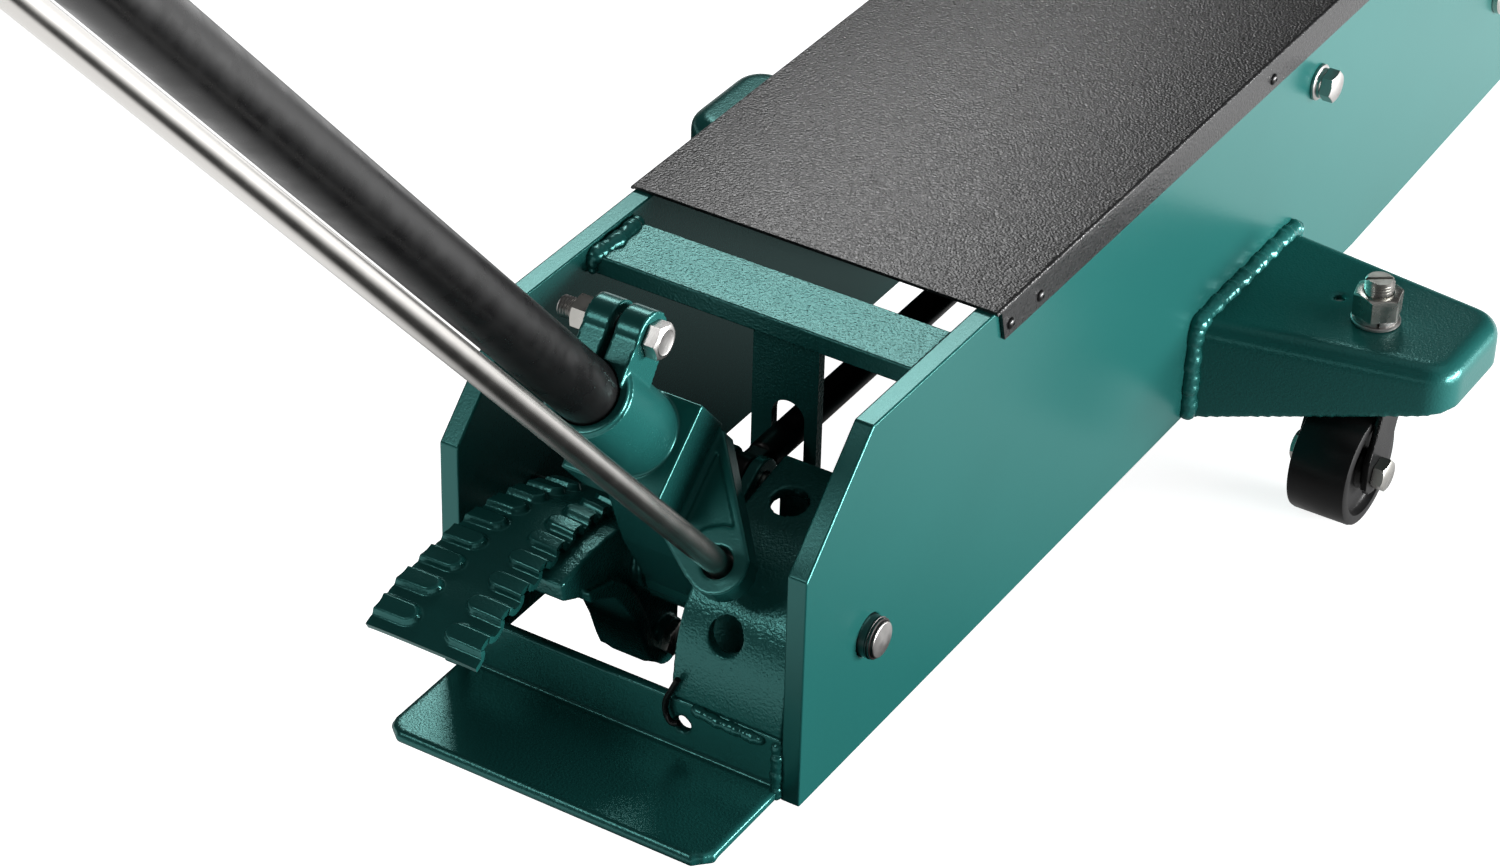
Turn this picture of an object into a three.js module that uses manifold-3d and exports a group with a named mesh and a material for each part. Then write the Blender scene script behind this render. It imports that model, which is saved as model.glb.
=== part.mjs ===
// Long-chassis trolley jack: welded plate frame, pump handle, release rod,
// foot pedal, hydraulic unit, lift arm with a self-levelling saddle, rollers.
// Millimetres. X is the width, +Y points to the saddle, +Z is up.
import * as THREE from 'three';
import { mergeVertices } from 'three/addons/utils/BufferGeometryUtils.js';
import Module from 'manifold-3d';

const wasm = await Module();
wasm.setup();

// ---- driving dimensions ----
const gap = 0.3;                    // clearance between touching pieces
const frameWidth = 230;             // over the two side plates
const plateThickness = 12;
const plateHeight = 210;
const groundGap = 54;               // floor to the plates' lower edge
const chamferDrop = 62.5;           // sloping rear corner of the side plates
const noseY = 1400;                 // front axle, from the plates' rear edge
const armPivotY = 900;
const armPivotZ = 150;
const armLength = 470;
const armRestDeg = -11;
const handleDeg = 48.4;             // handle above the floor, at rest
const handleLength = 1250;
const handleRadius = 17.5;
const pivotY = 67;                  // main pivot shaft
const pivotZ = 73;
const shaftRadius = 12;
const boltY = 593;
const boltZ = 161;
const stemX = frameWidth / 2 + 89;    // castor stem
const stemY = 508;
const castorRadius = 36;
const castorWidth = 38;
const castorTrail = 28;
const frontWheelRadius = 75;
const frontWheelWidth = 44;
const linkX = 13.5;                 // pump link, across the frame
const linkReach = 33;               // link pin ahead of the main pivot
const linkRise = 45;                // link pin above the main pivot
const linkLength = 300;
const linkRadius = 9;
const rodX = 60;                    // release rod, across the frame
const rodOffset = -6;               // release rod below the pivot's radial line
const rodRadius = 7;

// ---- related sizes ----
const outerX = frameWidth / 2;
const innerX = outerX - plateThickness;
const fitX = innerX - gap;
const plateTop = plateHeight;
const axleZ = frontWheelRadius - groundGap;
const handleAngle = THREE.MathUtils.degToRad(handleDeg);
const armRest = THREE.MathUtils.degToRad(armRestDeg);
const linkZ = pivotZ + linkRise;
const linkRearY = pivotY + linkReach;
const linkFrontY = linkRearY + linkLength;

// ---- materials ----
function finish(color, roughness, metalness) {
  return () => new THREE.MeshStandardMaterial({ color, roughness, metalness });
}
const greenPaint = finish(0x14695d, 0.38, 0.1);
const blackPaint = finish(0x141516, 0.45, 0.1);
const zinc = finish(0xb4b3ae, 0.35, 1.0);
const chrome = finish(0xd6d4d0, 0.15, 1.0);
const steel = finish(0x55534f, 0.4, 1.0);
const rubber = finish(0x17181a, 0.8, 0.0);

// ---- solids ----
function signedVolume(position, index) {
  let sum = 0;
  const a = new THREE.Vector3();
  const b = new THREE.Vector3();
  const c = new THREE.Vector3();
  for (let i = 0; i < index.length; i += 3) {
    a.fromBufferAttribute(position, index[i]);
    b.fromBufferAttribute(position, index[i + 1]);
    c.fromBufferAttribute(position, index[i + 2]);
    sum += a.dot(b.cross(c));
  }
  return sum / 6;
}

function solid(geometry) {
  geometry.deleteAttribute('normal');
  geometry.deleteAttribute('uv');
  const merged = mergeVertices(geometry, 1e-4);
  const position = merged.attributes.position;
  const all = merged.index.array;
  const kept = [];
  for (let i = 0; i < all.length; i += 3) {
    const [a, b, c] = [all[i], all[i + 1], all[i + 2]];
    if (a !== b && b !== c && c !== a) kept.push(a, b, c);
  }
  if (signedVolume(position, kept) < 0) kept.reverse();
  return new wasm.Manifold(new wasm.Mesh({
    numProp: 3,
    vertProperties: new Float32Array(position.array),
    triVerts: new Uint32Array(kept),
  }));
}

function piece(name, material, shape, parent) {
  const mesh = shape.getMesh();
  const geometry = new THREE.BufferGeometry();
  geometry.setAttribute('position', new THREE.BufferAttribute(new Float32Array(mesh.vertProperties), 3));
  geometry.setIndex(new THREE.BufferAttribute(new Uint32Array(mesh.triVerts), 1));
  geometry.computeVertexNormals();
  const item = new THREE.Mesh(geometry, material());
  item.name = name;
  parent.add(item);
  return item;
}

function box(x0, x1, y0, y1, z0, z1) {
  const geometry = new THREE.BoxGeometry(x1 - x0, y1 - y0, z1 - z0);
  geometry.translate((x0 + x1) / 2, (y0 + y1) / 2, (z0 + z1) / 2);
  return solid(geometry);
}

function turn(geometry, axis) {
  if (axis === 'x') geometry.rotateZ(-Math.PI / 2);
  if (axis === 'z') geometry.rotateX(Math.PI / 2);
  return geometry;
}

// small rounds get fewer sides than large ones
function sidesFor(radius) {
  if (radius < 7) return 12;
  return radius < 13 ? 16 : 24;
}

// a cylinder from one end to the other along an axis, at (u, v) on the other two
function rod(axis, radius, start, end, u = 0, v = 0, sides = sidesFor(radius)) {
  const geometry = turn(new THREE.CylinderGeometry(radius, radius, end - start, sides), axis);
  const mid = (start + end) / 2;
  if (axis === 'x') geometry.translate(mid, u, v);
  if (axis === 'y') geometry.translate(u, mid, v);
  if (axis === 'z') geometry.translate(u, v, mid);
  return solid(geometry);
}

function tube(axis, outer, inner, start, end, u = 0, v = 0, sides = sidesFor(inner)) {
  return rod(axis, outer, start, end, u, v, sides)
    .subtract(rod(axis, inner, start - 1, end + 1, u, v, sides));
}

// a turned profile of [radius, distance along the axis] pairs
function turned(axis, profile, u = 0, v = 0, sides = 20) {
  const points = profile.map(([r, h]) => new THREE.Vector2(r, h));
  const geometry = turn(new THREE.LatheGeometry(points, sides), axis);
  if (axis === 'x') geometry.translate(0, u, v);
  if (axis === 'y') geometry.translate(u, 0, v);
  if (axis === 'z') geometry.translate(u, v, 0);
  return solid(geometry);
}

function outline(points) {
  return new THREE.Shape(points.map(([a, b]) => new THREE.Vector2(a, b)));
}

// an outline with its corners rounded by the third number of each point
function roundedOutline(points) {
  const shape = new THREE.Shape();
  const count = points.length;
  points.forEach(([x, y, radius = 0], i) => {
    const corner = new THREE.Vector2(x, y);
    const before = new THREE.Vector2(...points[(i + count - 1) % count].slice(0, 2));
    const after = new THREE.Vector2(...points[(i + 1) % count].slice(0, 2));
    const from = before.sub(corner).setLength(radius).add(corner);
    const to = after.sub(corner).setLength(radius).add(corner);
    if (i === 0) shape.moveTo(from.x, from.y);
    else shape.lineTo(from.x, from.y);
    if (radius > 0) shape.quadraticCurveTo(x, y, to.x, to.y);
  });
  shape.closePath();
  return shape;
}

function prism(axis, shape, start, end, steps = 4) {
  const options = { depth: end - start, bevelEnabled: false, curveSegments: steps };
  const geometry = new THREE.ExtrudeGeometry(shape, options);
  const ex = new THREE.Vector3(1, 0, 0);
  const ey = new THREE.Vector3(0, 1, 0);
  const ez = new THREE.Vector3(0, 0, 1);
  const basis = new THREE.Matrix4();
  if (axis === 'x') basis.makeBasis(ey, ez, ex).setPosition(start, 0, 0);
  if (axis === 'y') basis.makeBasis(ex, ez, ey.clone().negate()).setPosition(0, end, 0);
  if (axis === 'z') basis.makeBasis(ex, ey, ez).setPosition(0, 0, start);
  geometry.applyMatrix4(basis);
  return solid(geometry);
}

function hexPrism(axis, flats, start, end, u = 0, v = 0) {
  return rod(axis, flats / Math.sqrt(3), start, end, u, v, 6);
}

// a flat strip of constant thickness that follows [y, z] points
function bentStrip(path, thickness, x0, x1) {
  const curve = path.map(([y, z]) => new THREE.Vector2(y, z));
  const left = [];
  const right = [];
  curve.forEach((point, i) => {
    const before = curve[Math.max(i - 1, 0)];
    const after = curve[Math.min(i + 1, curve.length - 1)];
    const along = after.clone().sub(before).normalize();
    const side = new THREE.Vector2(-along.y, along.x).multiplyScalar(thickness / 2);
    left.push([point.x + side.x, point.y + side.y]);
    right.unshift([point.x - side.x, point.y - side.y]);
  });
  return prism('x', outline([...left, ...right]), x0, x1);
}

function mirrored(shape, side) {
  return side < 0 ? shape.mirror([1, 0, 0]) : shape;
}

const sides = [['left', -1], ['right', 1]];
const group = new THREE.Group();
const chassis = new THREE.Group();
group.add(chassis);

// ---- chassis ----
function sidePlate(side) {
  const shape = outline([
    [0, 0], [noseY - 720, 0], [noseY - 400, 17.6], [noseY - 220, 12], [noseY - 62, -19],
    [noseY - 22, -19], [noseY + 8, -20], [noseY + 28, -9], [noseY + 40, 10],
    [noseY + 42, 30], [noseY + 32, 50], [noseY + 8, 62], [noseY - 110, 88],
    [noseY - 400, plateTop], [chamferDrop, plateTop], [0, plateTop - chamferDrop],
  ]);
  const holes = [
    [pivotY, pivotZ, shaftRadius],
    [boltY, boltZ, 6.2],
    [armPivotY, armPivotZ, 22],
    [armPivotY - 15, armPivotZ - 60, 10],
    [noseY, axleZ, 15],
  ];
  let plate = prism('x', shape, innerX, outerX);
  for (const [y, z, radius] of holes) {
    plate = plate.subtract(rod('x', radius + gap, innerX - 1, outerX + 1, y, z));
  }
  return mirrored(plate, side);
}
for (const [name, side] of sides) piece(`side_plate_${name}`, greenPaint, sidePlate(side), chassis);

// L-shaped rear plate: an upright flange between the plates and a step behind it
function rearStep() {
  const flange = box(-fitX, fitX, 0, 6, 2, 40);
  const step = prism('z', roundedOutline([
    [-fitX, 6, 0], [-fitX, -72, 10], [fitX, -72, 14], [fitX, 6, 0],
  ]), 2, 8);
  const lip = box(-fitX + 16, fitX - 16, -72, -67, -4, 4);
  return flange.add(step).add(lip).subtract(rod('y', 5, -2, 8, 41, 24));
}
piece('rear_step_plate', greenPaint, rearStep(), chassis);
piece('top_cross_bar', greenPaint, box(-fitX, fitX, 127, 170, 192, 204), chassis);

// bent cover over the lower end of the release gear, with two cross webs inside,
// standing on the rear flange
function couplingGuard() {
  const path = [
    [3, 40.4], [4, 56], [7, 74], [13, 90], [22, 102], [34, 111], [48, 117], [75, 123], [112, 130],
  ];
  return bentStrip(path, 6, 34, fitX)
    .add(box(34, fitX, 28, 32, 20, 107)).add(box(34, fitX, 106, 111, 60, 128))
    .subtract(rod('y', 10.5, -10, 40, 62, 86))
    .subtract(rod('z', 10.5, 100, 150, 55, 82));
}
piece('coupling_guard', greenPaint, couplingGuard(), chassis);

// plate under the cross bar with an open slot that the pump link runs through
function guidePlate() {
  const slotHalf = linkRadius + 1.5;
  const slot = prism('y', roundedOutline([
    [linkX - slotHalf, 80, 0], [linkX - slotHalf, linkZ + 20, 8],
    [linkX + slotHalf, linkZ + 20, 8], [linkX + slotHalf, 80, 0],
  ]), 140, 160);
  return box(-10, 32, 147, 153, 88, 192 - gap).subtract(slot);
}
piece('guide_plate', greenPaint, guidePlate(), chassis);

// pressed outrigger, open underneath, narrower and shallower to the outside
function outrigger(side) {
  const root = outerX + gap;
  const tip = stemX + 64;
  const plan = (inset) => roundedOutline([
    [root + inset, 445 + inset, 0], [tip - inset, 474 + inset, 20 - inset / 2],
    [tip - inset, 562 - inset, 20 - inset / 2], [root + inset, 578 - inset, 0],
  ]);
  const shell = prism('z', plan(0), 0, 67).subtract(prism('z', plan(6), -1, 61));
  const low = 2 * castorRadius - groundGap - 20;   // skirts stay above the castor wheels
  const under = prism('y', outline([[root - 1, low - 30], [root - 1, low], [tip + 2, low + 40], [tip + 2, low - 30]]), 400, 620);
  const hole = rod('z', 9 + gap, 50, 80, stemX, stemY);
  const small = rod('z', 3, 50, 80, stemX - 29, stemY + 11);
  return mirrored(shell.subtract(under).subtract(hole).subtract(small), side);
}
for (const [name, side] of sides) piece(`outrigger_${name}`, greenPaint, outrigger(side), chassis);

// folded sheet cover over the rear half of the frame
function topCover() {
  const halfWidth = outerX + gap + 2;
  const sheet = box(-halfWidth, halfWidth, 188, 850, plateTop + gap, plateTop + gap + 2);
  const flange = prism('x', outline([
    [193, plateTop + gap + 1], [198, 190], [850, 190], [850, plateTop + gap + 1],
  ]), outerX + gap, halfWidth);
  return sheet.add(flange).add(flange.mirror([1, 0, 0]));
}
piece('top_cover', blackPaint, topCover(), chassis);

// a shaft across the frame with a retaining-ring groove near each end
function groovedShaft(radius, half, inset, y, z) {
  const low = radius - 1.4;
  const groove = half - inset;
  return turned('x', [
    [0, -half], [radius, -half], [radius, -groove - 1], [low, -groove - 1],
    [low, -groove + 1], [radius, -groove + 1], [radius, groove - 1], [low, groove - 1],
    [low, groove + 1], [radius, groove + 1], [radius, half], [0, half],
  ], y, z);
}

function retainingRing(radius, half, inset, side, y, z) {
  const groove = half - inset;
  const ring = tube('x', radius + 2.2, radius - 1.4 + gap, groove - 0.7, groove + 0.7, y, z);
  return mirrored(ring, side);
}

const shaftEnd = outerX + 9;
piece('main_shaft', steel, groovedShaft(shaftRadius, shaftEnd, 6, pivotY, pivotZ), chassis);
for (const [name, side] of sides) {
  piece(`main_ring_${name}`, steel, retainingRing(shaftRadius, shaftEnd, 6, side, pivotY, pivotZ), chassis);
}

// a shaft with a pressed-on collar at each end
function collaredShaft(radius, half, y, z) {
  return turned('x', [
    [0, -half], [radius, -half], [radius, -half + 3], [radius + 5, -half + 3],
    [radius + 5, -half + 7], [radius, -half + 7], [radius, half - 7], [radius + 5, half - 7],
    [radius + 5, half - 3], [radius, half - 3], [radius, half], [0, half],
  ], y, z);
}
piece('arm_shaft', zinc, collaredShaft(22, outerX + 9, armPivotY, armPivotZ), chassis);
piece('front_axle', zinc, collaredShaft(15, outerX + frontWheelWidth + 13, noseY, axleZ), chassis);

// distance tubes that hold the moving hubs in place on the main shaft
piece('spacer_left', steel, tube('x', 16, shaftRadius + gap, -fitX, -53, pivotY, pivotZ), chassis);
piece('spacer_right', steel, tube('x', 16, shaftRadius + gap, 31, fitX, pivotY, pivotZ), chassis);

// cross tie behind the side bolts
function crossTie() {
  let bar = rod('x', 14, -fitX, fitX, boltY, boltZ);
  for (const side of [-1, 1]) {
    bar = bar.subtract(mirrored(rod('x', 6 + gap, fitX - 32, fitX + 1, boltY, boltZ), side));
  }
  return bar;
}
piece('cross_tie', greenPaint, crossTie(), chassis);

function sideBolt(side) {
  const collar = rod('x', 11.5, outerX + gap, outerX + 5, boltY, boltZ);
  const head = hexPrism('x', 18, outerX + 5, outerX + 13, boltY, boltZ);
  const shank = rod('x', 5.9, fitX - 30, outerX + 1, boltY, boltZ);
  return mirrored(collar.add(head).add(shank), side);
}
for (const [name, side] of sides) piece(`side_bolt_${name}`, zinc, sideBolt(side), chassis);

// short pins in the side plates that carry the levelling links
function linkStub(side) {
  const y = armPivotY - 15;
  const z = armPivotZ - 60;
  const body = rod('x', 10, 79, outerX, y, z);
  const head = rod('x', 14, outerX + gap, outerX + 5, y, z);
  return mirrored(body.add(head).add(rod('x', 10, outerX - 1, outerX + 2, y, z)), side);
}
for (const [name, side] of sides) piece(`level_stub_${name}`, zinc, linkStub(side), chassis);

// ---- hydraulic unit ----
const unitY = 470;
const unitFront = 765;
const ramZ = 72;
const valveX = 45;
const valveZ = 60;
piece('unit_base', greenPaint, box(-fitX, fitX, unitY, unitFront - 25, 8, 19), chassis);

function unitBlock() {
  return box(-70, 70, unitY, unitY + 90, 19 + gap, 140)
    .subtract(rod('y', 8 + gap, unitY - 1, unitY + 66, linkX, linkZ))
    .subtract(rod('y', 5 + gap, unitY - 1, unitY + 30, valveX, valveZ));
}
piece('pump_block', greenPaint, unitBlock(), chassis);

function reservoir() {
  const start = unitY + 90 + gap;
  return turned('y', [
    [0, start], [50, start], [52, start + 3], [52, unitFront - 28], [44, unitFront - 24],
    [34, unitFront - 22], [34, unitFront], [18.5, unitFront], [18.5, start + 40], [0, start + 40],
  ], 0, ramZ, 24);
}
piece('reservoir', greenPaint, reservoir(), chassis);

// small wire hook on the rear flange
function wireHook() {
  const points = [[40, -3.3, 56], [36, -3.3, 47], [32.5, -3.3, 38], [33, -3.3, 30], [36.5, -3.3, 25.5], [41, -3.3, 27]];
  const curve = new THREE.CatmullRomCurve3(points.map((p) => new THREE.Vector3(...p)));
  const section = new THREE.Shape();
  section.absarc(0, 0, 1.8, 0, Math.PI * 2);
  const options = { steps: 12, extrudePath: curve, curveSegments: 3, bevelEnabled: false };
  return solid(new THREE.ExtrudeGeometry(section, options));
}
piece('wire_hook', blackPaint, wireHook(), chassis);

// ---- handle ----
// local +Z runs up the handle and local +Y is square to it, with the pivot shaft at the origin
const handle = new THREE.Group();
handle.position.set(0, pivotY, pivotZ);
handle.rotation.x = Math.PI / 2 - handleAngle;
group.add(handle);
const handleAxis = 38;              // handle centre line, ahead of the pivot
const blockStart = 93;
const blockEnd = 124;
const bossEnd = 190;
const clampUp = 39;                 // clamp bolt, ahead of the handle centre line
const clampZ = 182;

// pump-link pin in the handle's own frame
const pinY = linkReach * Math.sin(handleAngle) + linkRise * Math.cos(handleAngle);
const pinZ = -linkReach * Math.cos(handleAngle) + linkRise * Math.sin(handleAngle);

function handleSocket() {
  const hub = rod('x', 23, -12, 30, 0, 0);
  const neck = prism('x', outline([
    [-21, 0], [-8, 60], [7, blockStart + 6], [58, blockStart + 6], [34, 55], [22, 5],
  ]), -12, 30);
  const block = prism('z', roundedOutline([
    [-30, 7, 3], [30, 7, 3], [30, 63.5, 3], [-30, 63.5, 3],
  ]), blockStart, blockEnd, 3);
  const boss = rod('z', 24.5, blockEnd - 2, bossEnd, 0, handleAxis);
  const earShape = roundedOutline([
    [handleAxis + 8, clampZ - 24, 0], [handleAxis + clampUp + 13, clampZ - 13, 11],
    [handleAxis + clampUp + 13, clampZ + 13, 11], [handleAxis + 8, bossEnd + 2, 0],
  ]);
  const ears = prism('x', earShape, -17, 17);
  const lug = prism('z', roundedOutline([
    [29, 60, 0], [29, -6, 0], [42, -21, 0], [60, -24, 0], [76, -14, 6], [77, 2, 6], [72, 12, 0], [31, 60, 0],
  ]), blockStart - 15, blockStart).subtract(box(70, 90, -40, -12, 60, 100));
  const web = prism('x', outline([
    [8, blockStart - 12], [8, blockStart + 26], [56, blockStart + 26], [56, blockStart - 12],
  ]), 24, 30);
  const shoulder = box(24, 31, -20, 58, blockStart - 15, blockStart);
  const pinEars = prism('x', roundedOutline([
    [6, -22, 0], [pinY + 13, pinZ - 13, 12], [pinY + 13, pinZ + 13, 12], [10, 32, 0],
  ]), linkX - 14, linkX + 14).subtract(box(linkX - 7, linkX + 7, 20, 90, -60, 60));
  const body = hub.add(neck).add(block).add(boss).add(ears).add(lug).add(web).add(shoulder).add(pinEars);
  return body
    .subtract(rod('x', shaftRadius + gap, -40, 60, 0, 0))
    .subtract(rod('z', handleRadius + gap, blockEnd - 4, bossEnd + 20, 0, handleAxis))
    .subtract(box(-2, 2, handleAxis + 10, handleAxis + 80, clampZ - 40, bossEnd + 20))
    .subtract(rod('x', 6 + gap, -60, 60, handleAxis + clampUp, clampZ))
    .subtract(rod('x', 6 + gap, -60, 60, pinY, pinZ))
    .subtract(rod('z', rodRadius + 1.5, 60, 110, rodX, rodOffset));
}
piece('handle_socket', greenPaint, handleSocket(), handle);

const tubeStart = blockEnd - 3;
piece('handle_tube', blackPaint,
  tube('z', handleRadius, handleRadius - 3.5, tubeStart, handleLength, 0, handleAxis), handle);
piece('handle_bar', blackPaint, rod('x', 14, -150, 150, handleAxis, handleLength + 14 + gap), handle);
for (const [name, side] of sides) {
  const sleeve = tube('x', 18, 14 + gap, 58, 154, handleAxis, handleLength + 14 + gap);
  piece(`handle_grip_${name}`, rubber, mirrored(sleeve, side), handle);
}

function clampBolt() {
  const y = handleAxis + clampUp;
  return rod('x', 6, -38, 18, y, clampZ).add(hexPrism('x', 18, 17 + gap, 25, y, clampZ));
}
piece('clamp_bolt', zinc, clampBolt(), handle);
piece('clamp_nut', zinc, hexPrism('x', 18, -28, -17 - gap, handleAxis + clampUp, clampZ)
  .subtract(rod('x', 6 + gap, -40, 0, handleAxis + clampUp, clampZ)), handle);
piece('link_pin', zinc, rod('x', 6, linkX - 17, linkX + 17, pinY, pinZ), handle);

// clip near the top of the handle that steadies the release rod
function rodClip() {
  const z = handleLength - 110;
  const ring = rod('z', handleRadius + 5, z, z + 22, 0, handleAxis);
  const end = rod('z', rodRadius + 5, z, z + 22, rodX, rodOffset, 24);
  const dx = rodX;
  const dy = rodOffset - handleAxis;
  const length = Math.hypot(dx, dy);
  const [nx, ny] = [-dy / length * 5, dx / length * 5];
  const arm = prism('z', outline([
    [nx, handleAxis + ny], [rodX + nx, rodOffset + ny],
    [rodX - nx, rodOffset - ny], [-nx, handleAxis - ny],
  ]), z, z + 22);
  return ring.add(end).add(arm)
    .subtract(rod('z', handleRadius + gap, z - 5, z + 30, 0, handleAxis))
    .subtract(rod('z', rodRadius + 0.5, z - 5, z + 30, rodX, rodOffset, 24));
}
piece('rod_clip', blackPaint, rodClip(), handle);

// ---- release rod ----
const release = new THREE.Group();
release.position.set(rodX, rodOffset, 0);
handle.add(release);
piece('release_knob', rubber, turned('z', [
  [0, handleLength - 40 + gap], [9, handleLength - 40 + gap], [15, handleLength - 34],
  [17, handleLength - 22], [15, handleLength - 6], [8, handleLength], [0, handleLength + 1],
]), release);

// the rod ends in a short crank behind the socket's lug
function releaseRod() {
  const low = blockStart - 23;
  const crank = prism('z', roundedOutline([
    [-26, -7, 6], [11, -11, 6], [11, 11, 6], [-26, 7, 6],
  ]), low, low + 6).subtract(rod('z', 3, low - 5, low + 12, -19, 0));
  return crank.add(rod('z', rodRadius, low - 1, handleLength - 40, 0, 0));
}
piece('release_rod', chrome, releaseRod(), release);

function valveSpindle() {
  return rod('y', 5, unitY - 42, unitY + 24, valveX, valveZ)
    .add(box(valveX - 5, valveX + 5, unitY - 44, unitY - 38, valveZ - 5, valveZ + 26));
}
piece('valve_spindle', zinc, valveSpindle(), group);

// ---- pump link and plunger ----
const pinClear = 6.5;               // play at the link's front pin
function pumpLink() {
  const y0 = linkRearY;
  const y1 = linkFrontY;
  const bar = rod('y', linkRadius, y0 + 20, y1 - 22, linkX, linkZ);
  const flat = box(linkX - 6, linkX + 6, y0, y0 + 24, linkZ - 7, linkZ + 7)
    .add(box(linkX - 6, linkX + 6, y1 - 26, y1 - 8, linkZ - 7, linkZ + 7));
  const eyes = rod('x', 12, linkX - 6, linkX + 6, y0, linkZ)
    .add(rod('x', 15, linkX - 6, linkX + 6, y1, linkZ));
  return bar.add(flat).add(eyes)
    .subtract(rod('x', 6 + gap, 0, 40, y0, linkZ))
    .subtract(rod('x', 4 + pinClear, 0, 40, y1, linkZ));
}
piece('pump_link', blackPaint, pumpLink(), group);

function plunger() {
  const y = linkFrontY;
  const cheeks = box(linkX - 14, linkX + 14, y - 12, y + 34, linkZ - 12, linkZ + 12)
    .subtract(box(linkX - 8, linkX + 8, y - 14, y + 25, linkZ - 14, linkZ + 14));
  return cheeks
    .add(rod('y', 8, y + 30, unitY + 34, linkX, linkZ))
    .add(rod('x', 4, linkX - 16, linkX + 16, y, linkZ));
}
piece('pump_plunger', chrome, plunger(), group);

// ---- foot pedal ----
function pedalPlate() {
  const strip = bentStrip([
    [-86, 85], [-74, 91], [-62, 97], [-45, 101.5], [-28, 106.5], [-12, 110.5], [4, 112.6], [18, 113],
    [32, 111.5], [45, 108], [62, 102],
  ], 5, -104, -30);
  const plan = prism('z', roundedOutline([
    [-102, -90, 3], [-32, -90, 3], [-32, 61, 6], [-75, 61, 6], [-97, -36, 0],
  ]), 60, 140);
  return strip.intersect(plan);
}
piece('pedal_plate', greenPaint, pedalPlate(), group);

function pedalArm() {
  const arm = prism('x', roundedOutline([
    [-22, 101, 0], [-20, 92, 4], [18, 76, 18], [44, 36, 12], [58, 4, 8], [76, -8, 8], [92, 2, 8],
    [94, 26, 10], [92, 60, 10], [86, 90, 12], [64, 97, 3], [45, 112, 0], [28, 112, 0], [-22, 105, 0],
  ]), -50, -16, 6);
  const slope = prism('x', outline([
    [-40, 99.5], [-28, 103.1], [-12, 107.2], [4, 109.4], [18, 109.8], [32, 108.3], [45, 104.6], [63.5, 98],
    [63.5, 140], [-40, 140],
  ]),
    -60, 0);
  return arm.subtract(slope)
    .subtract(rod('x', shaftRadius + gap, -60, 0, pivotY, pivotZ))
    .subtract(rod('x', 6 + gap, -60, 0, 77, 10))
    .subtract(box(-22, -10, 30, 110, -12, 38));
}
piece('pedal_arm', greenPaint, pedalArm(), group);
piece('pedal_bolt', zinc, rod('x', 6, -58, -17, 77, 10).add(hexPrism('x', 18, -17.5, -11, 77, 10)), group);

// ---- ram and lift arm ----
const leverLength = 90;
const leverDeg = 35;
const leverTipY = armPivotY - leverLength * Math.sin(THREE.MathUtils.degToRad(leverDeg));
const leverTipZ = armPivotZ - leverLength * Math.cos(THREE.MathUtils.degToRad(leverDeg));
const ramFace = leverTipY - 16 - 2.5;
piece('ram_rod', chrome, turned('y', [
  [0, unitY + 140], [18, unitY + 140], [18, ramFace - 20], [25, ramFace - 18], [25, ramFace - 2],
  [23, ramFace], [0, ramFace],
], 0, ramZ), group);

// the arm's own frame has the pivot at the origin and +Y to the saddle
const arm = new THREE.Group();
arm.position.set(0, armPivotY, armPivotZ);
arm.rotation.x = armRest;
group.add(arm);

function liftArm() {
  const cheek = prism('x', roundedOutline([
    [-40, -30, 24], [-40, 30, 24], [20, 40, 20], [260, 34, 20], [armLength, 24, 0],
    [armLength + 24, 20, 16], [armLength + 24, -20, 16], [armLength, -24, 0], [120, -40, 30],
  ]), 58.5, 74.5);
  const hub = rod('x', 38, -74.5, 74.5, 0, 0);
  const web = box(-59, 59, 60, armLength - 110, 10, 20).add(box(-59, 59, 60, armLength - 170, -26, -18));
  const tip = new THREE.Vector2(leverTipY - armPivotY, leverTipZ - armPivotZ);
  tip.rotateAround(new THREE.Vector2(), -armRest);
  const along = tip.clone().normalize();
  const square = new THREE.Vector2(-along.y, along.x);
  const at = (a, b) => [along.x * a + square.x * b, along.y * a + square.y * b];
  const neck = prism('x', outline([
    at(10, -30), at(38, -7), at(leverLength - 12, -7), at(leverLength, -14), at(leverLength, 16), at(10, 34),
  ]), -18, 18);
  const nose = rod('x', 16, -18, 18, tip.x, tip.y);
  return cheek.add(cheek.mirror([1, 0, 0])).add(hub).add(web).add(neck).add(nose)
    .subtract(rod('x', 22 + gap, -80, 80, 0, 0))
    .subtract(rod('x', 14 + gap, -80, 80, armLength, 0));
}
piece('lift_arm', greenPaint, liftArm(), arm);

// levelling links stay parallel to the arm, outside its cheeks
function levelLink(side) {
  const link = box(82, 91, 0, armLength, -10, 10)
    .add(rod('x', 17, 82, 91, 0, 0))
    .add(rod('x', 15, 82, 91, armLength, 0))
    .subtract(rod('x', 10 + gap, 70, 100, 0, 0))
    .subtract(rod('x', 8 + gap, 70, 100, armLength, 0));
  return mirrored(link, side);
}
const links = new THREE.Group();
links.position.set(0, armPivotY - 15, armPivotZ - 60);
links.rotation.x = armRest;
group.add(links);
for (const [name, side] of sides) piece(`level_link_${name}`, greenPaint, levelLink(side), links);

const saddle = new THREE.Group();
saddle.position.set(0, armPivotY + armLength * Math.cos(armRest), armPivotZ + armLength * Math.sin(armRest));
group.add(saddle);

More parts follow.
